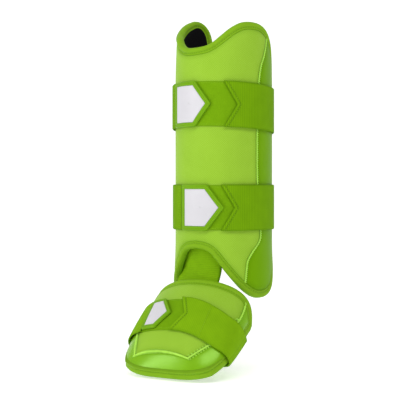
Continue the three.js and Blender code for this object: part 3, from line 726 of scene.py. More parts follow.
def shin_surface(strap):
    """A surface for one strap: the way along it, across it and above the panel, all in mm."""
    def place(along, across, lift):
        turn = along / SHIN_RADIUS
        radius = SHIN_RADIUS + lift
        height = strap["middle"] + across + strap["lift"] * np.cos(turn)
        return np.stack(np.broadcast_arrays(radius * np.sin(turn), -radius * np.cos(turn), height), -1)
    return place


def round_section(width, thick, steps, corner):
    """A flat band's section with round edges: the way across and the height above its underside."""
    across = (edge_steps(steps) - 0.5) * width
    inset = np.clip(1 - (width / 2 - np.abs(across)) / corner, 0, 1)
    drop = corner * (1 - np.sqrt(1 - inset ** 2))
    low = np.minimum(drop, thick * 0.49)
    return np.concatenate([across, across[::-1]]), np.concatenate([thick - low, low])


def brushed_loop():
    """Brushed loop fabric: a short uneven nap."""
    loop = Finish("green_loop", Roughness=0.95, Specular_IOR_Level=0.05)
    nap = loop.noise(1100, 3.0)
    clumps = loop.noise(150, 3.0)
    base = loop.mix(nap * 0.6 + clumps * 0.3, dye(92, 140, 4), dye(132, 180, 20))
    # Darker by the edge share: painted shade near edges; the loop patches are made with an edge share of
    # zero, so it does not show.
    loop.feed("Base Color", loop.mix(loop.edge() * 0.2, base, dye(88, 140, 6)))
    loop.bump(nap + clumps * 0.6, 0.7, 0.35)
    return loop.material


def loop_patch(name, node, surface, width, start, end, count):
    """A loop patch on a surface from start to end along it, with a stitch row near each long side."""
    across, rise = round_section(width, LANDING_THICK, 24, 0.5)
    along = np.linspace(start, end, count)
    rings = surface(along[:, None], across[None], GAP + rise[None])
    uvs = np.stack(np.broadcast_arrays(along[:, None], across[None]), -1)
    patch = outward(ring_mesh(name, rings, uvs, False))
    finished(patch, loop_fabric, "loop", node)
    rows = [surface(along[4:-4], edge * (width / 2 - 2.0), GAP + LANDING_THICK) for edge in (-1, 1)]
    sew(f"{name}_stitches", rows, "loop")
    return patch


loop_fabric = brushed_loop()
width = STRAP_WIDTH - 1.6
for name, strap in SHIN_STRAPS.items():
    start = (strap["tab"] - PATCH_PAST_TAB) * MM_PER_DEGREE
    end = (strap["notch"] + PATCH_PAST_NOTCH) * MM_PER_DEGREE
    patch = loop_patch(f"{name}_loop_patch", f"{name}_strap_landing", shin_surface(strap), width,
                       start, end, 90)
    round((end - start) * MM, 3)

# Shin elastics: wide woven elastic with fine cross ribs. Each starts in a notched, hemmed end on the
# right of its loop patch, runs round the calf, and is sewn to its tab on the left.
STRAP_THICK = 2.0
NOTCH_DEPTH = 15.0
BACK_DIP = 9.0
STRAP_STEP = 9.0
SIDE_LIFT = 1.2
STRAP_LIFT = 2 * GAP + LANDING_THICK
RIB_PITCH = 2.1
RIB_DEPTH = 0.16
HEM_WIDTH = 4.4
HEM_LIFT = 0.3
END_GAP = 1.3


def ribbed_elastic(name, low, high, rib_share):
    """Woven elastic between two tones: fine ribs across it and a finer weave along it."""
    elastic = Finish(name, Specular_IOR_Level=0.05)
    rib = elastic.ribs(elastic.uv(0), RIB_PITCH)
    yarn = elastic.ribs(elastic.uv(1), 0.8)
    mottle = elastic.noise(70, 3.0)
    base = elastic.mix(rib * rib_share + yarn * 0.15 + mottle * (0.85 - rib_share), low, high)
    # Darker by the edge share: painted shade wherever the piece's edge share marks it, such as sides, ends
    # and hem groove.
    elastic.feed("Base Color", elastic.mix(elastic.edge() * 0.6, base, dye(54, 96, 0)))
    elastic.feed("Roughness", 0.66 + mottle * 0.14)
    elastic.bump(rib * (2 * rib_share) + yarn * 0.5, 0.3, 0.12)
    return elastic.material


def strap_lift(strap, angle):
    """How far the elastic's underside stands above the panel, by degrees from the front."""
    patch_end = strap["notch"] + PATCH_PAST_NOTCH
    patch_start = 360 + strap["tab"] - PATCH_PAST_TAB
    on_patch = 1 - ramp(patch_end + STRAP_STEP, patch_end + 3 * STRAP_STEP, angle)
    on_patch = on_patch + ramp(patch_start - 3 * STRAP_STEP, patch_start - STRAP_STEP, angle)
    dip_start = BACK_EDGE + BINDING_WIDTH / MM_PER_DEGREE + STRAP_STEP
    back = ramp(dip_start, 180, angle) * (1 - ramp(180, 360 - dip_start, angle))
    return SIDE_LIFT + (STRAP_LIFT - SIDE_LIFT) * on_patch - BACK_DIP * back


def notched_band(name, width, thick, notch, depth, end, place, mm_per_degree, steps):
    """A ribbed elastic band from its notched end to its plain end. place(angle, across, rise) gives mm."""
    across, rise = round_section(width, thick, 26, 0.8)
    outside = np.concatenate([np.ones(27), np.zeros(27)])
    start = notch - depth / mm_per_degree * np.abs(across) / (width / 2)
    share = np.concatenate([[0.0, 0.0008, 0.002, 0.0035], np.linspace(0.005, 0.9975, steps), [0.9988, 1.0]])
    angle = start[None] + (end - start[None]) * share[:, None]
    rounding = np.ones(len(share))
    rounding[[0, 1, 2, -2, -1]] = (0.55, 0.82, 0.95, 0.85, 0.55)
    height = thick / 2 + (rise[None] - thick / 2) * rounding[:, None]
    along = angle * mm_per_degree
    from_notch = (angle - start[None]) * mm_per_degree
    groove = (from_notch - HEM_WIDTH) / 0.7
    hem = HEM_LIFT * (1 - ramp(HEM_WIDTH - 0.5, HEM_WIDTH + 0.3, from_notch)) * ramp(0, 1.2, from_notch)
    height = height + outside[None] * (hem - 0.25 * np.exp(-groove ** 2))
    height = height - RIB_DEPTH * outside[None] * (1 + np.cos(2 * np.pi * along / RIB_PITCH)) / 2
    rings = place(angle, across[None] + 0 * angle, height)
    uvs = np.stack(np.broadcast_arrays(along, across[None]), -1)
    near_side = 1 - ramp(0, 2.5, width / 2 - np.abs(across))[None]
    near_end = 1 - ramp(0.0, 1.5, (end - angle) * mm_per_degree)
    # Painted shade mask: half along the long sides, full at the notched end, in the hem's stitch groove and
    # at the plain end against the tab.
    painted_shade = np.maximum.reduce(np.broadcast_arrays(
        0.5 * near_side, 1 - ramp(0.0, 1.2, from_notch), np.exp(-groove ** 2), near_end))
    return outward(ring_mesh(name, rings, uvs, False, painted_shade))


def hem_row(place, notch, depth, width, mm_per_degree, count):
    """The line of stitches along a notched end's hem."""
    across = np.linspace(-1, 1, count) * (width / 2 - 1.6)
    shift = HEM_WIDTH - depth * np.abs(across) / (width / 2)
    return place(notch + shift / mm_per_degree, across, STRAP_THICK - 0.1)


elastic = ribbed_elastic("green_elastic", dye(92, 140, 2), dye(126, 174, 12), 0.45)
for name, strap in SHIN_STRAPS.items():
    surface = shin_surface(strap)

    def on_loop(angle, across, rise, surface=surface, strap=strap):
        return surface(angle * MM_PER_DEGREE, across, strap_lift(strap, angle) + rise)

    end = 360 + strap["tab"] - END_GAP / MM_PER_DEGREE
    band = notched_band(f"{name}_elastic", STRAP_WIDTH, STRAP_THICK, strap["notch"], NOTCH_DEPTH, end,
                        on_loop, MM_PER_DEGREE, 760)
    finished(band, elastic, "elastic", f"{name}_strap")
    length = (end - strap["notch"] + NOTCH_DEPTH / 2 / MM_PER_DEGREE) * MM_PER_DEGREE
    round(length * MM, 3)
    row = hem_row(on_loop, strap["notch"], NOTCH_DEPTH, STRAP_WIDTH, MM_PER_DEGREE, 61)
    sew(f"{name}_elastic_hem_stitches", [row], "elastic")
    across = np.linspace(-1, 1, 61) * (STRAP_WIDTH / 2 - 2)
    rows = [on_loop(np.full(61, end - inset / MM_PER_DEGREE), across, STRAP_THICK) for inset in (3.0, 6.0)]
    sew(f"{name}_elastic_tab_stitches", rows, "elastic")

# Home-plate tabs: soft moulded green plates with a bevelled raised border round a shallow pocket, each
# gripping the loop patch. A plain white inset lies in the pocket.
TAB_LENGTH = 34.0
TAB_POINT = 19.0
TAB_THICK = 3.2
TAB_BORDER = 5.0
POCKET_DEPTH = 1.3
INSET_THICK = 0.7


def home_plate(length, point, width, border, corner):
    """The outline of a home plate drawn in by a border, with round corners, counter-clockwise."""
    half = width / 2
    slant = border * math.hypot(1 / point, 1 / half)
    shoulder = length + point * (border / half - slant)
    tip = length + point * (1 - slant)
    corners = np.array([(border, -half + border), (shoulder, -half + border), (tip, 0.0),
                        (shoulder, half - border), (border, half - border)])
    points = []
    for i, here in enumerate(corners):
        before = corners[i - 1] - here
        after = corners[(i + 1) % 5] - here
        before /= np.linalg.norm(before)
        next_length = np.linalg.norm(after)
        after /= next_length
        half_turn = math.acos(np.clip(before.dot(after), -1, 1)) / 2
        reach = corner / math.tan(half_turn)
        start, end = here + before * reach, here + after * reach
        for t in np.linspace(0, 1, 7):
            points.append((1 - t) ** 2 * start + 2 * t * (1 - t) * here + t * t * end)
        following = corners[(i + 1) % 5]
        for t in np.linspace(0, 1, 16)[1:-1]:
            points.append(end + (following - after * reach - end) * t)
    return np.array(points)


def plate(name, outlines, place):
    """A closed plate through outlines, each (points, height), with its first and last filled in flat."""
    rings = [np.column_stack([points, np.full(len(points), height)]) for points, height in outlines]

    def toward_middle(ring, shares):
        middle = ring.mean(0)
        return [middle + (ring - middle) * share for share in shares]
    shares = np.linspace(1, 0.08, 7)[1:]
    rings = toward_middle(rings[0], shares[::-1]) + rings + toward_middle(rings[-1], shares)
    flat = np.array(rings)
    points = place(flat[..., 0], flat[..., 1], flat[..., 2])
    return outward(ring_mesh(name, points, flat[..., :2], False))


def tab_rubber():
    """Soft moulded rubber: satin, with a fine even grain."""
    rubber = Finish("green_moulded_rubber", Specular_IOR_Level=0.2, Specular_Tint=(0.6, 1.0, 0.3, 1.0))
    grain = rubber.noise(1500, 2.0)
    mottle = rubber.noise(50, 2.0)
    base = rubber.mix(mottle, dye(104, 154, 10), dye(120, 170, 22))
    rubber.feed("Base Color", base)
    rubber.feed("Roughness", 0.36 + grain * 0.14)
    rubber.bump(grain, 0.18, 0.08)
    return rubber.material


def white_plastic():
    """Plain white soft plastic, faintly cool, with a fine grain."""
    white = Finish("white_inset", Specular_IOR_Level=0.3)
    grain = white.noise(900, 2.0)
    white.feed("Base Color", white.mix(white.noise(40, 2.0), dye(206, 204, 209), dye(215, 213, 218)))
    white.feed("Roughness", 0.36 + grain * 0.12)
    white.bump(grain, 0.12, 0.08)
    return white.material


def moulded_tab(name, length, point, width, border, base, lift, surface):
    """The tab's plate and its inset, from the sewn base to the blunt tip."""
    def place(along, across, rise):
        return surface(base + along, across, lift + rise)

    def stacked(piece, sections):
        outlines = [(home_plate(length, point, width, drawn_in, corner), height)
                    for drawn_in, corner, height in sections]
        return plate(piece, outlines, place)
    top = TAB_THICK
    floor = top - POCKET_DEPTH
    shape = stacked(f"{name}_plate", [
        (0.35, 1.5, 0.0), (0.0, 1.6, 0.35), (0.0, 1.6, top * 0.55), (0.25, 1.5, top * 0.78),
        (0.8, 1.4, top - 0.12), (1.1, 1.4, top), (1.9, 1.3, top), (2.1, 1.25, top - 0.28),
        (2.4, 1.2, top - 0.28), (2.6, 1.2, top), (border - 0.5, 1.0, top), (border - 0.15, 0.9, top - 0.2),
        (border, 0.9, top - 0.5), (border + 0.05, 0.9, floor)])
    finished(shape, rubber, "moulded", name)
    low = floor + GAP * 0.5
    inset = stacked(f"{name}_white_inset", [
        (border + 0.2, 0.8, low), (border + 0.2, 0.8, low + INSET_THICK * 0.7),
        (border + 0.5, 0.8, low + INSET_THICK), (border + 1.4, 0.7, low + INSET_THICK + 0.08)])
    finished(inset, white, "white", f"{name}_inset")


rubber = tab_rubber()
white = white_plastic()
for name, strap in SHIN_STRAPS.items():
    moulded_tab(f"{name}_tab", TAB_LENGTH, TAB_POINT, STRAP_WIDTH, TAB_BORDER,
                strap["tab"] * MM_PER_DEGREE, STRAP_LIFT, shin_surface(strap))

# Tongue: a wide piece of the same elastic that hangs the foot pad from the shell. It comes out from
# behind the shell's arch and goes in under the pad's crest.
FOOT_SLOPE = math.radians(31.0)
FOOT_TURN = math.radians(6.0)
FOOT_SET_FORWARD = 38.0
FOOT_SET_DOWN = 188.5
FOOT_HALF_WIDTH = 65.0
FOOT_LENGTH = 110.5
FOOT_HEIGHT = 42.0
FOOT_WALL = 7.0
TOE_NARROWING = 0.16
TOE_ROUNDING = 0.09
ANKLE_CORNER = 18.0
SIDE_POWER = 0.86
TOE_POWER = 1.4
TONGUE_WIDTH = 60.0
TONGUE_THICK = 3.0
TONGUE_TUCK = 16.0
TONGUE_TURN = 8.0
TONGUE_ON_FOOT = 12.0
CLEAR_SHARE = 0.5
LEFT_SPREAD = 0.2
to_foot = np.array(Matrix.Rotation(FOOT_TURN, 3, "Z"))
SIDEWARD = to_foot @ (1, 0, 0)
TOEWARD = to_foot @ (0, -math.cos(FOOT_SLOPE), -math.sin(FOOT_SLOPE))
CRESTWARD = to_foot @ (0, -math.sin(FOOT_SLOPE), math.cos(FOOT_SLOPE))
FOOT_START = to_foot @ (0, -FOOT_SET_FORWARD, -FOOT_SET_DOWN)


def foot_reach(across, grow):
    return (FOOT_LENGTH + grow) * (1 - TOE_ROUNDING * np.sin(np.radians(across)) ** 4)


def ankle_edge(across):
    return ANKLE_CORNER * np.abs(across / 90) ** 5


def on_foot(across, forward, grow):
    """Places on the foot pad in mm, by degrees from its crest and from its ankle edge to its toe."""
    across, forward, grow = np.broadcast_arrays(across, forward, grow)
    reach = np.sin(np.radians(forward)) ** TOE_POWER
    half = (FOOT_HALF_WIDTH + grow) * (1 - TOE_NARROWING * reach ** 5)
    arch = np.maximum(np.cos(np.radians(across)), 0) ** SIDE_POWER
    profile = np.maximum(np.cos(np.radians(forward)), 0) ** TOE_POWER
    start = ankle_edge(across)
    along = start + (foot_reach(across, grow) - start) * reach
    height = BINDING_WIDTH + (FOOT_HEIGHT + grow) * arch * profile
    side = half * np.sin(np.radians(across))
    return (FOOT_START + along[..., None] * TOEWARD + height[..., None] * CRESTWARD
            + side[..., None] * SIDEWARD)


def forward_at(across, along, grow):
    """The turn from ankle to toe at which the pad's surface lies that far from the ankle."""
    start = ankle_edge(across)
    reach = np.clip((along - start) / (foot_reach(across, grow) - start), 0, 1)
    return np.degrees(np.arcsin(reach ** (1 / TOE_POWER)))


def tongue_line(count):
    """The tongue's middle line and its directions, from behind the shell to under the pad."""
    behind = SHELL_THICK + BINDING_PROUD + 2 * GAP + ANKLE_FLARE / 4
    half_turn = math.degrees(TONGUE_WIDTH / 2 / (SHIN_RADIUS - behind))
    clear = float(bottom_edge(-TONGUE_TURN - half_turn)) - BINDING_WIDTH
    turn = math.radians(TONGUE_TURN)
    out = np.array([-math.sin(turn), -math.cos(turn), 0])

    def in_shell(height):
        return (SHIN_RADIUS - behind) * out + np.array([0, 0, height])
    top = ARCH_TOP + TONGUE_TUCK
    under = -FOOT_WALL - BINDING_PROUD - GAP
    ankle = on_foot(-TONGUE_ON_FOOT, 0.0, under) - BINDING_WIDTH * TOEWARD
    end = on_foot(-TONGUE_ON_FOOT, forward_at(-TONGUE_ON_FOOT, TONGUE_TUCK, under), under)
    stops = [in_shell(top), in_shell((top + clear) / 2), in_shell(clear), ankle, end]
    stops = np.array([2 * stops[0] - stops[1], *stops, 2 * stops[-1] - stops[-2]])
    gaps = np.linalg.norm(np.diff(stops, axis=0), axis=1) ** 0.5

    def slope(i):
        before, here, after = stops[i - 1:i + 2]
        both = (after - before) / (gaps[i - 1] + gaps[i])
        return (here - before) / gaps[i - 1] - both + (after - here) / gaps[i]
    line = []
    for i in range(1, 5):
        t = np.linspace(0, 1, 60, endpoint=i == 4)[:, None]
        line.append((2 * t ** 3 - 3 * t ** 2 + 1) * stops[i] + (t ** 3 - 2 * t ** 2 + t) * slope(i) * gaps[i]
                    + (3 * t ** 2 - 2 * t ** 3) * stops[i + 1] + (t ** 3 - t ** 2) * slope(i + 1) * gaps[i])
    line = np.concatenate(line)
    run = np.concatenate([[0], np.cumsum(np.linalg.norm(np.diff(line, axis=0), axis=1))])
    wanted = np.linspace(0, run[-1], count)
    return np.stack([np.interp(wanted, run, line[:, k]) for k in range(3)], -1), run[-1]


line, tongue_length = tongue_line(300)
share = np.linspace(0, 1, 300)
turned = ramp(CLEAR_SHARE, 0.8, share)[:, None]
turn = math.radians(TONGUE_TURN)
level = np.array([math.cos(turn), -math.sin(turn), 0])
on_pad = on_foot(5 - TONGUE_ON_FOOT, 0.0, 0.0) - on_foot(-5 - TONGUE_ON_FOOT, 0.0, 0.0)
aside = level + (on_pad / np.linalg.norm(on_pad) - level) * turned
aside /= np.linalg.norm(aside, axis=1, keepdims=True)
out = np.cross(np.gradient(line, axis=0), aside)
out /= np.linalg.norm(out, axis=1, keepdims=True)
crest_radius = 0.9 * (FOOT_HALF_WIDTH - FOOT_WALL) ** 2 / (FOOT_HEIGHT - FOOT_WALL)
shell_radius = SHIN_RADIUS - SHELL_THICK - 2
radius = shell_radius + (crest_radius - shell_radius) * turned
across, rise = round_section(TONGUE_WIDTH, TONGUE_THICK - 2 * GAP, 30, 0.9)
depth = TONGUE_THICK - GAP - rise[None] + radius - np.sqrt(radius ** 2 - across[None] ** 2)
along = share * tongue_length
depth = depth + RIB_DEPTH / 2 * (1 + np.cos(2 * np.pi * along / RIB_PITCH))[:, None] / 2
spread = np.where(across < 0, LEFT_SPREAD, 0.0)[None] * (1 - ramp(0.5, 0.78, share))[:, None]
rings = line[:, None] - out[:, None] * depth[..., None]
rings = rings + aside[:, None] * (across[None] * (1 + spread))[..., None]
uvs = np.stack(np.broadcast_arrays(along[:, None], across[None]), -1)
# Painted shade mask along the tongue's long sides.
edge = np.broadcast_to(1 - ramp(0, 2.5, TONGUE_WIDTH / 2 - np.abs(across))[None], rings.shape[:2])
tongue = outward(ring_mesh("ankle_elastic", rings, uvs, False, edge))
# A lighter copy of the shin elastic, with fainter ribs, for the tongue and the foot strap: its extra
# lightness is painted light.
painted_lit_elastic = ribbed_elastic("painted_lit_green_elastic", dye(106, 154, 4), dye(138, 187, 18), 0.3)
finished(tongue, painted_lit_elastic, "elastic", "ankle_tongue")
round(tongue_length * MM, 3)

# Top of the foot pad: a padded panel of the light green weave, arched over the instep, with a pointed
# seam toward the toe and seams that run back down both sides.
FOOT_SEAM = {
    "along": (0.00, 0.12, 0.28, 0.50, 0.68, 0.863),
    "right": (0.72, 0.77, 0.78, 0.66, 0.52, 0.30),
    "left": (0.72, 0.77, 0.74, 0.64, 0.55, 0.49),
}
SEAM_BOW = 0.035
SEAM_END = FOOT_SEAM["along"][-1]
FOOT_STRAP_WIDTH = 43.0
FOOT_STRAP_MIDDLE = 48.0
FOOT_STRAP_SLANT = 9.0
FOOT_COVER_FALL = 1.4


def top_place(u, v):
    """Degrees across and forward, u of the way between the top panel's seams and v of the way to the toe."""
    along = v * SEAM_END
    left = -90 * look_up(FOOT_SEAM, "along", "left", along)
    right = 90 * look_up(FOOT_SEAM, "along", "right", along)
    across = left + (right - left) * u
    bow = SEAM_BOW * np.sin(np.pi * u)
    return across, forward_at(across, FOOT_LENGTH * v * (SEAM_END - bow), 0.0)


def under_foot_strap(across, forward):
    """1 where the foot strap or its patch lies on the pad, 0 well clear of it."""
    start = ankle_edge(across)
    along = start + (foot_reach(across, 0.0) - start) * np.sin(np.radians(forward)) ** TOE_POWER
    middle = FOOT_STRAP_MIDDLE + FOOT_STRAP_SLANT * ramp(0, 60, across)
    return 1 - ramp(FOOT_STRAP_WIDTH / 2, FOOT_STRAP_WIDTH / 2 + 6.0, np.abs(along - middle))


u, v = np.meshgrid(edge_steps(70), edge_steps(60), indexing="ij")
across, forward = top_place(1 - u, v)
away = steps_from_edge(on_foot(across, forward, 0.0))
outer = on_foot(across, forward, -fall_away(away, FOOT_COVER_FALL))
inner = on_foot(across, forward, -FOOT_WALL)
places = np.stack([-np.radians(across) * FOOT_HALF_WIDTH, v * FOOT_LENGTH], -1)
free = ramp(1.0, 10.0, away) * (1 - under_foot_strap(across, forward))
top_cover = padded_cover("foot_top_cover", outer, inner, places, free, 2.6, 1.6)
finished(top_cover, weave, "fabric", "foot_top_panel")

# Toe cap and sides of the foot pad: glossy coated fabric pulled over foam, from the top panel's seam
# down to the rim, right round the toe.
FOOT_SEAM_GAP = 0.9


def toe_stations(side_steps, toe_steps):
    """Pairs of places on the seam and on the rim, from the right of the ankle round to its left."""
    up = np.linspace(0, 1, side_steps + 1)
    turn = 1 - np.linspace(0, 1, toe_steps + 1)[1:-1]
    u = np.concatenate([np.ones_like(up), turn, np.zeros_like(up)])
    v = np.concatenate([up, np.ones_like(turn), up[::-1]])
    seam_across, seam_forward = top_place(u, v)
    rim_across = np.concatenate([np.full_like(up, 90.0), 90 * (2 * turn - 1), np.full_like(up, -90.0)])
    rim_forward = np.concatenate([90 * up, np.full_like(turn, 90.0), 90 * up[::-1]])
    return seam_across, seam_forward, rim_across, rim_forward


def glossy_toe():
    """Glossy coated fabric with a fine pebble grain, and painted shade near its seam and rim."""
    toe = Finish("glossy_green_toe", Specular_IOR_Level=0.72, Specular_Tint=(0.55, 1.0, 0.25, 1.0),
                 Coat_Weight=0.05, Coat_Roughness=0.14)
    pebbles = toe.node("ShaderNodeTexVoronoi", {"feature": "SMOOTH_F1"}, {
        "Vector": toe.node("ShaderNodeTexCoord", {}, {}, "Object"), "Scale": 900.0})
    mottle = toe.noise(28, 3.0)
    base = toe.mix(mottle, dye(114, 168, 6), dye(130, 186, 18))
    # Darker near the edge: painted shade at the seam and where the cap meets the rim tape.
    toe.feed("Base Color", toe.mix(toe.edge() * 0.35, base, dye(92, 148, 6)))
    toe.feed("Roughness", 0.2 + mottle * 0.1)
    toe.bump(pebbles * 0.5 + mottle * 0.4, 0.14, 0.1)
    return toe.material


toe_finish = glossy_toe()
seam_across, seam_forward, rim_across, rim_forward = toe_stations(44, 56)
rim = on_foot(rim_across, rim_forward, 0.0)
reach = np.linalg.norm(on_foot(seam_across, seam_forward, 0.0) - rim, axis=1)
share = FOOT_SEAM_GAP / reach[:, None] + (1 - FOOT_SEAM_GAP / reach[:, None]) * edge_steps(26)[None]
across = seam_across[:, None] + (rim_across - seam_across)[:, None] * share
forward = seam_forward[:, None] + (rim_forward - seam_forward)[:, None] * share
away = steps_from_edge(on_foot(across, forward, 0.0))
outer = on_foot(across, forward, -fall_away(away, FOOT_COVER_FALL))
round_toe = np.cumsum(np.concatenate([[0], np.linalg.norm(np.diff(rim, axis=0), axis=1)]))
places = np.stack(np.broadcast_arrays(round_toe[:, None], share * reach[:, None]), -1)
inner = on_foot(across, forward, -FOOT_WALL)
free = ramp(1.0, 10.0, away) * (1 - under_foot_strap(across, forward))
toe_cover = padded_cover("foot_toe_cover", outer, inner, places, free, 2.6, 1.8)
finished(toe_cover, toe_finish, "toe", "foot_toe_cap")

# Lime seam of the foot pad: the same corded zigzag seam, between the top panel and the toe cap.
SEAM_HOOK_ALONG = 29.0
SEAM_HOOK_ACROSS = 90 * float(look_up(FOOT_SEAM, "along", "right", SEAM_HOOK_ALONG / FOOT_LENGTH))


def on_foot_seam(share, aside, lift):
    at = np.clip(share * (len(seam_across) - 1), 0, len(seam_across) - 1)
    steps = np.arange(len(seam_across))
    reach_at = np.interp(at, steps, reach)
    move = (FOOT_SEAM_GAP / 2 + aside) / reach_at
    across = np.interp(at, steps, seam_across)
    forward = np.interp(at, steps, seam_forward)
    across = across + (np.interp(at, steps, rim_across) - across) * move
    forward = forward + (np.interp(at, steps, rim_forward) - forward) * move
    return on_foot(across, np.maximum(forward, 0), lift - 0.5)


def seam_hook(share, aside, lift):
    """The last stitches of the right seam, which turn in toward the crest."""
    across = SEAM_HOOK_ACROSS - (5.5 * share + 0 * aside)
    return on_foot(across, forward_at(across, SEAM_HOOK_ALONG + 1.5 * share + aside, 0.0), lift - 0.3)


seams = [lime_seam("foot_lime_run", on_foot_seam, 330, 1.0, 1.6),
         lime_seam("foot_lime_hook", seam_hook, 7, 0.9, 1.4)]
finished(joined("foot_lime_seam", seams), lime, "fabric")

# Edge binding of the foot pad: the same folded tape, round the ankle edge and the rim. It stands out a
# little more than on the shell.
FOOT_TAPE_START = -4.0
FOOT_TAPE_PROUD = 1.1


def foot_edge(steps):
    """Degrees across and forward round the pad's edge, counter-clockwise seen from above the crest."""
    share = np.arange(steps) / steps
    side = np.ones(steps)
    across = np.concatenate([90 - 180 * share, -90 * side, -90 + 180 * share, 90 * side])
    forward = np.concatenate([0 * side, 90 * share, 90 * side, 90 - 90 * share])
    return across, forward


across, forward = foot_edge(64)
places = on_foot(across, forward, -FOOT_WALL / 2)
along = np.roll(places, -1, 0) - np.roll(places, 1, 0)
along /= np.linalg.norm(along, axis=1, keepdims=True)
at_ankle = np.where(forward == 0, 1 - np.abs(across / 90) ** 5, 0)[:, None]
off = -(CRESTWARD + (TOEWARD - CRESTWARD) * at_ankle)
off = off - along * (off * along).sum(1, keepdims=True)
off /= np.linalg.norm(off, axis=1, keepdims=True)
faces = np.cross(off, along)
faces /= np.linalg.norm(faces, axis=1, keepdims=True)
bind_edge("foot_edge", "foot_binding", places, faces, off, FOOT_WALL / 2 + FOOT_TAPE_PROUD, FOOT_TAPE_START)

# Loop patch, elastic and tab of the foot: the elastic starts in a notched end on the crest, goes down
# the right side, under the sole and up the left side to its moulded tab.
FOOT_MM_PER_DEGREE = math.radians(1) * FOOT_HALF_WIDTH
FOOT_STRAP_LIFT = STRAP_LIFT + BINDING_PROUD
FOOT_TAB_BASE = -40.0
FOOT_NOTCH = 5.0
FOOT_NOTCH_DEPTH = 11.0
SOLE_DROP = 13.0
LEFT_SLACK = 0.2
FOOT_TAB_LENGTH = 20.0
FOOT_TAB_BORDER = 3.8
FOOT_TAB_POINT = 15.0
SEWN_ACROSS = 31.0


def foot_surface(along, across, lift):
    """A place on the foot strap's surface: the way along it, across it and above the pad, in mm."""
    angle = along / FOOT_MM_PER_DEGREE
    middle = FOOT_STRAP_MIDDLE + FOOT_STRAP_SLANT * ramp(0, 60, angle)
    return on_foot(angle, forward_at(angle, middle - across, lift), lift)


def foot_loop(turn, across, lift):
    """A place on the strap's loop by degrees from the crest, which passes under the sole past 90."""
    turn, across, lift = np.broadcast_arrays(turn, across, lift)
    over = foot_surface(np.minimum(turn, 90) * FOOT_MM_PER_DEGREE, across, lift)
    slack = LEFT_SLACK * (1 - ramp(290, 330, turn))
    left_side = foot_surface((np.maximum(turn, 270) - 360) * FOOT_MM_PER_DEGREE, across, lift + slack)
    side = np.sin(np.radians(turn))
    down = np.abs(np.cos(np.radians(turn)))
    grow = lift + np.where(side < 0, LEFT_SLACK, 0.0)
    right = foot_surface(np.full_like(turn, 90.0) * FOOT_MM_PER_DEGREE, across, grow)
    left = foot_surface(np.full_like(turn, -90.0) * FOOT_MM_PER_DEGREE, across, grow)
    share = 0.5 + 0.5 * np.sign(side) * np.abs(side) ** 0.4
    drop = (SOLE_DROP + lift - FOOT_STRAP_LIFT) * down ** 0.4
    sole = left + (right - left) * share[..., None] - drop[..., None] * CRESTWARD
    return np.where((turn <= 90)[..., None], over, np.where((turn >= 270)[..., None], left_side, sole))


width = FOOT_STRAP_WIDTH - 2
start = (FOOT_TAB_BASE - 4) * FOOT_MM_PER_DEGREE
end = (FOOT_NOTCH + 8) * FOOT_MM_PER_DEGREE
patch = loop_patch("foot_loop_patch", "foot_strap_landing", foot_surface, width, start, end, 80)
round((end - start) * MM, 3)


def foot_band_place(angle, across, rise):
    """The band is doubled between its notched end and the row sewn across it."""
    doubled = 0.35 * (1 - ramp(SEWN_ACROSS - 0.8, SEWN_ACROSS + 0.8, angle))
    return foot_loop(angle, across, FOOT_STRAP_LIFT + rise * (1 - 0.175 + 0.5 * doubled))


foot_end = 360 + FOOT_TAB_BASE - END_GAP / FOOT_MM_PER_DEGREE
band = notched_band("foot_elastic", FOOT_STRAP_WIDTH, STRAP_THICK, FOOT_NOTCH, FOOT_NOTCH_DEPTH, foot_end,
                    foot_band_place, FOOT_MM_PER_DEGREE, 900)
finished(band, painted_lit_elastic, "elastic", "foot_strap")
rows = [hem_row(foot_band_place, FOOT_NOTCH, FOOT_NOTCH_DEPTH, FOOT_STRAP_WIDTH, FOOT_MM_PER_DEGREE, 51)]
across = np.linspace(-1, 1, 51) * (FOOT_STRAP_WIDTH / 2 - 1.5)
for angle in (SEWN_ACROSS - 1.2, foot_end - 3.0):
    rows.append(foot_band_place(np.full(51, angle), across, STRAP_THICK))
sew("foot_elastic_stitches", rows, "elastic")
moulded_tab("foot_tab", FOOT_TAB_LENGTH, FOOT_TAB_POINT, FOOT_STRAP_WIDTH - 4, FOOT_TAB_BORDER,
            FOOT_TAB_BASE * FOOT_MM_PER_DEGREE, FOOT_STRAP_LIFT, foot_surface)

# Studio: a pale floor that curves up behind the guard, a tall narrow soft box to the left, a wide one
# above the front, and the camera level, a little below the middle between the shin elastics.
CAMERA_AZIMUTH = math.radians(35.0)
CAMERA_DISTANCE = 1.3
CAMERA_HEIGHT = -0.033
LENS = 97.5
FRAME_WIDTH = 400.0
AXIS_RIGHT_OF_MIDDLE = 23.5
HORIZON_ABOVE_MIDDLE = 15.0
FLOOR_BELOW = 0.002


def studio_paper():
    """Plain white paper with a little light of its own, so that it stays pale."""
    paper = Finish("studio_paper", Base_Color=(0.9, 0.9, 0.9, 1), Roughness=0.9)
    paper.shader.inputs["Emission Color"].default_value = (1, 1, 1, 1)
    paper.shader.inputs["Emission Strength"].default_value = 0.45
    return paper.material


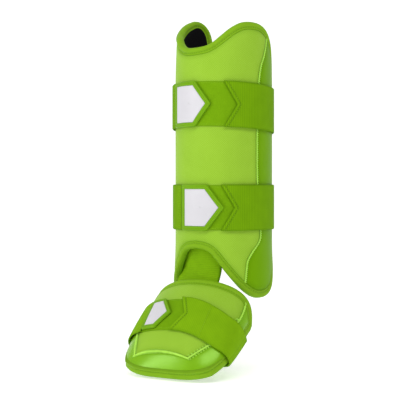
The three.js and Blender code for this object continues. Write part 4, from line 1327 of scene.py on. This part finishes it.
toward_camera = Vector((math.sin(CAMERA_AZIMUTH), -math.cos(CAMERA_AZIMUTH), 0))
to_right = Vector((math.cos(CAMERA_AZIMUTH), math.sin(CAMERA_AZIMUTH), 0))
floor_height = cad_low.z - FLOOR_BELOW
bend = [(1.2 + 0.8 * math.sin(t), 0.8 - 0.8 * math.cos(t)) for t in np.linspace(0, math.pi / 2, 24)]
profile = [(-3.0, 0.0), *bend, (2.0, 4.0)]
points = []
for reach_back, rise_up in profile:
    for aside_by in (-4.0, 4.0):
        place = -toward_camera * reach_back + to_right * aside_by
        points.append((place.x / MM, place.y / MM, (floor_height + rise_up) / MM))
faces = [(2 * i, 2 * i + 2, 2 * i + 3, 2 * i + 1) for i in range(len(profile) - 1)]
backdrop = mesh_piece("studio_backdrop", points, faces, [(p[0], p[1]) for p in points])
backdrop.data.materials.append(studio_paper())


def soft_light(name, right, up, front, wide, tall, watts):
    """A soft box that looks at the guard, placed from the camera's point of view in metres."""
    lamp = bpy.data.lights.new(name, "AREA")
    lamp.shape = "RECTANGLE"
    lamp.size = wide
    lamp.size_y = tall
    lamp.energy = watts
    holder = bpy.data.objects.new(name, lamp)
    place = to_right * right + toward_camera * front + Vector((0, 0, up))
    holder.location = place
    holder.rotation_euler = (Vector((0, 0, -0.05)) - place).to_track_quat("-Z", "Y").to_euler()
    bpy.context.scene.collection.objects.link(holder)


soft_light("tall_soft_box", -1.4, 0.45, 0.62, 0.3, 1.1, 7.5)
soft_light("front_soft_box", 0.12, 1.0, 0.95, 1.4, 0.35, 9)
world = bpy.data.worlds.new("studio")
world.use_nodes = True
world.node_tree.nodes["Background"].inputs["Color"].default_value = (1, 1, 1, 1)
world.node_tree.nodes["Background"].inputs["Strength"].default_value = 0.38
bpy.context.scene.world = world

camera_data = bpy.data.cameras.new("camera")
camera_data.lens = LENS
camera_data.shift_x = -AXIS_RIGHT_OF_MIDDLE / FRAME_WIDTH
camera_data.shift_y = -HORIZON_ABOVE_MIDDLE / FRAME_WIDTH
camera = bpy.data.objects.new("camera", camera_data)
camera.location = toward_camera * CAMERA_DISTANCE + Vector((0, 0, CAMERA_HEIGHT))
camera.rotation_euler = (math.pi / 2, 0, CAMERA_AZIMUTH)
bpy.context.scene.collection.objects.link(camera)
bpy.context.scene.camera = camera
bpy.context.scene.view_settings.view_transform = "Standard"
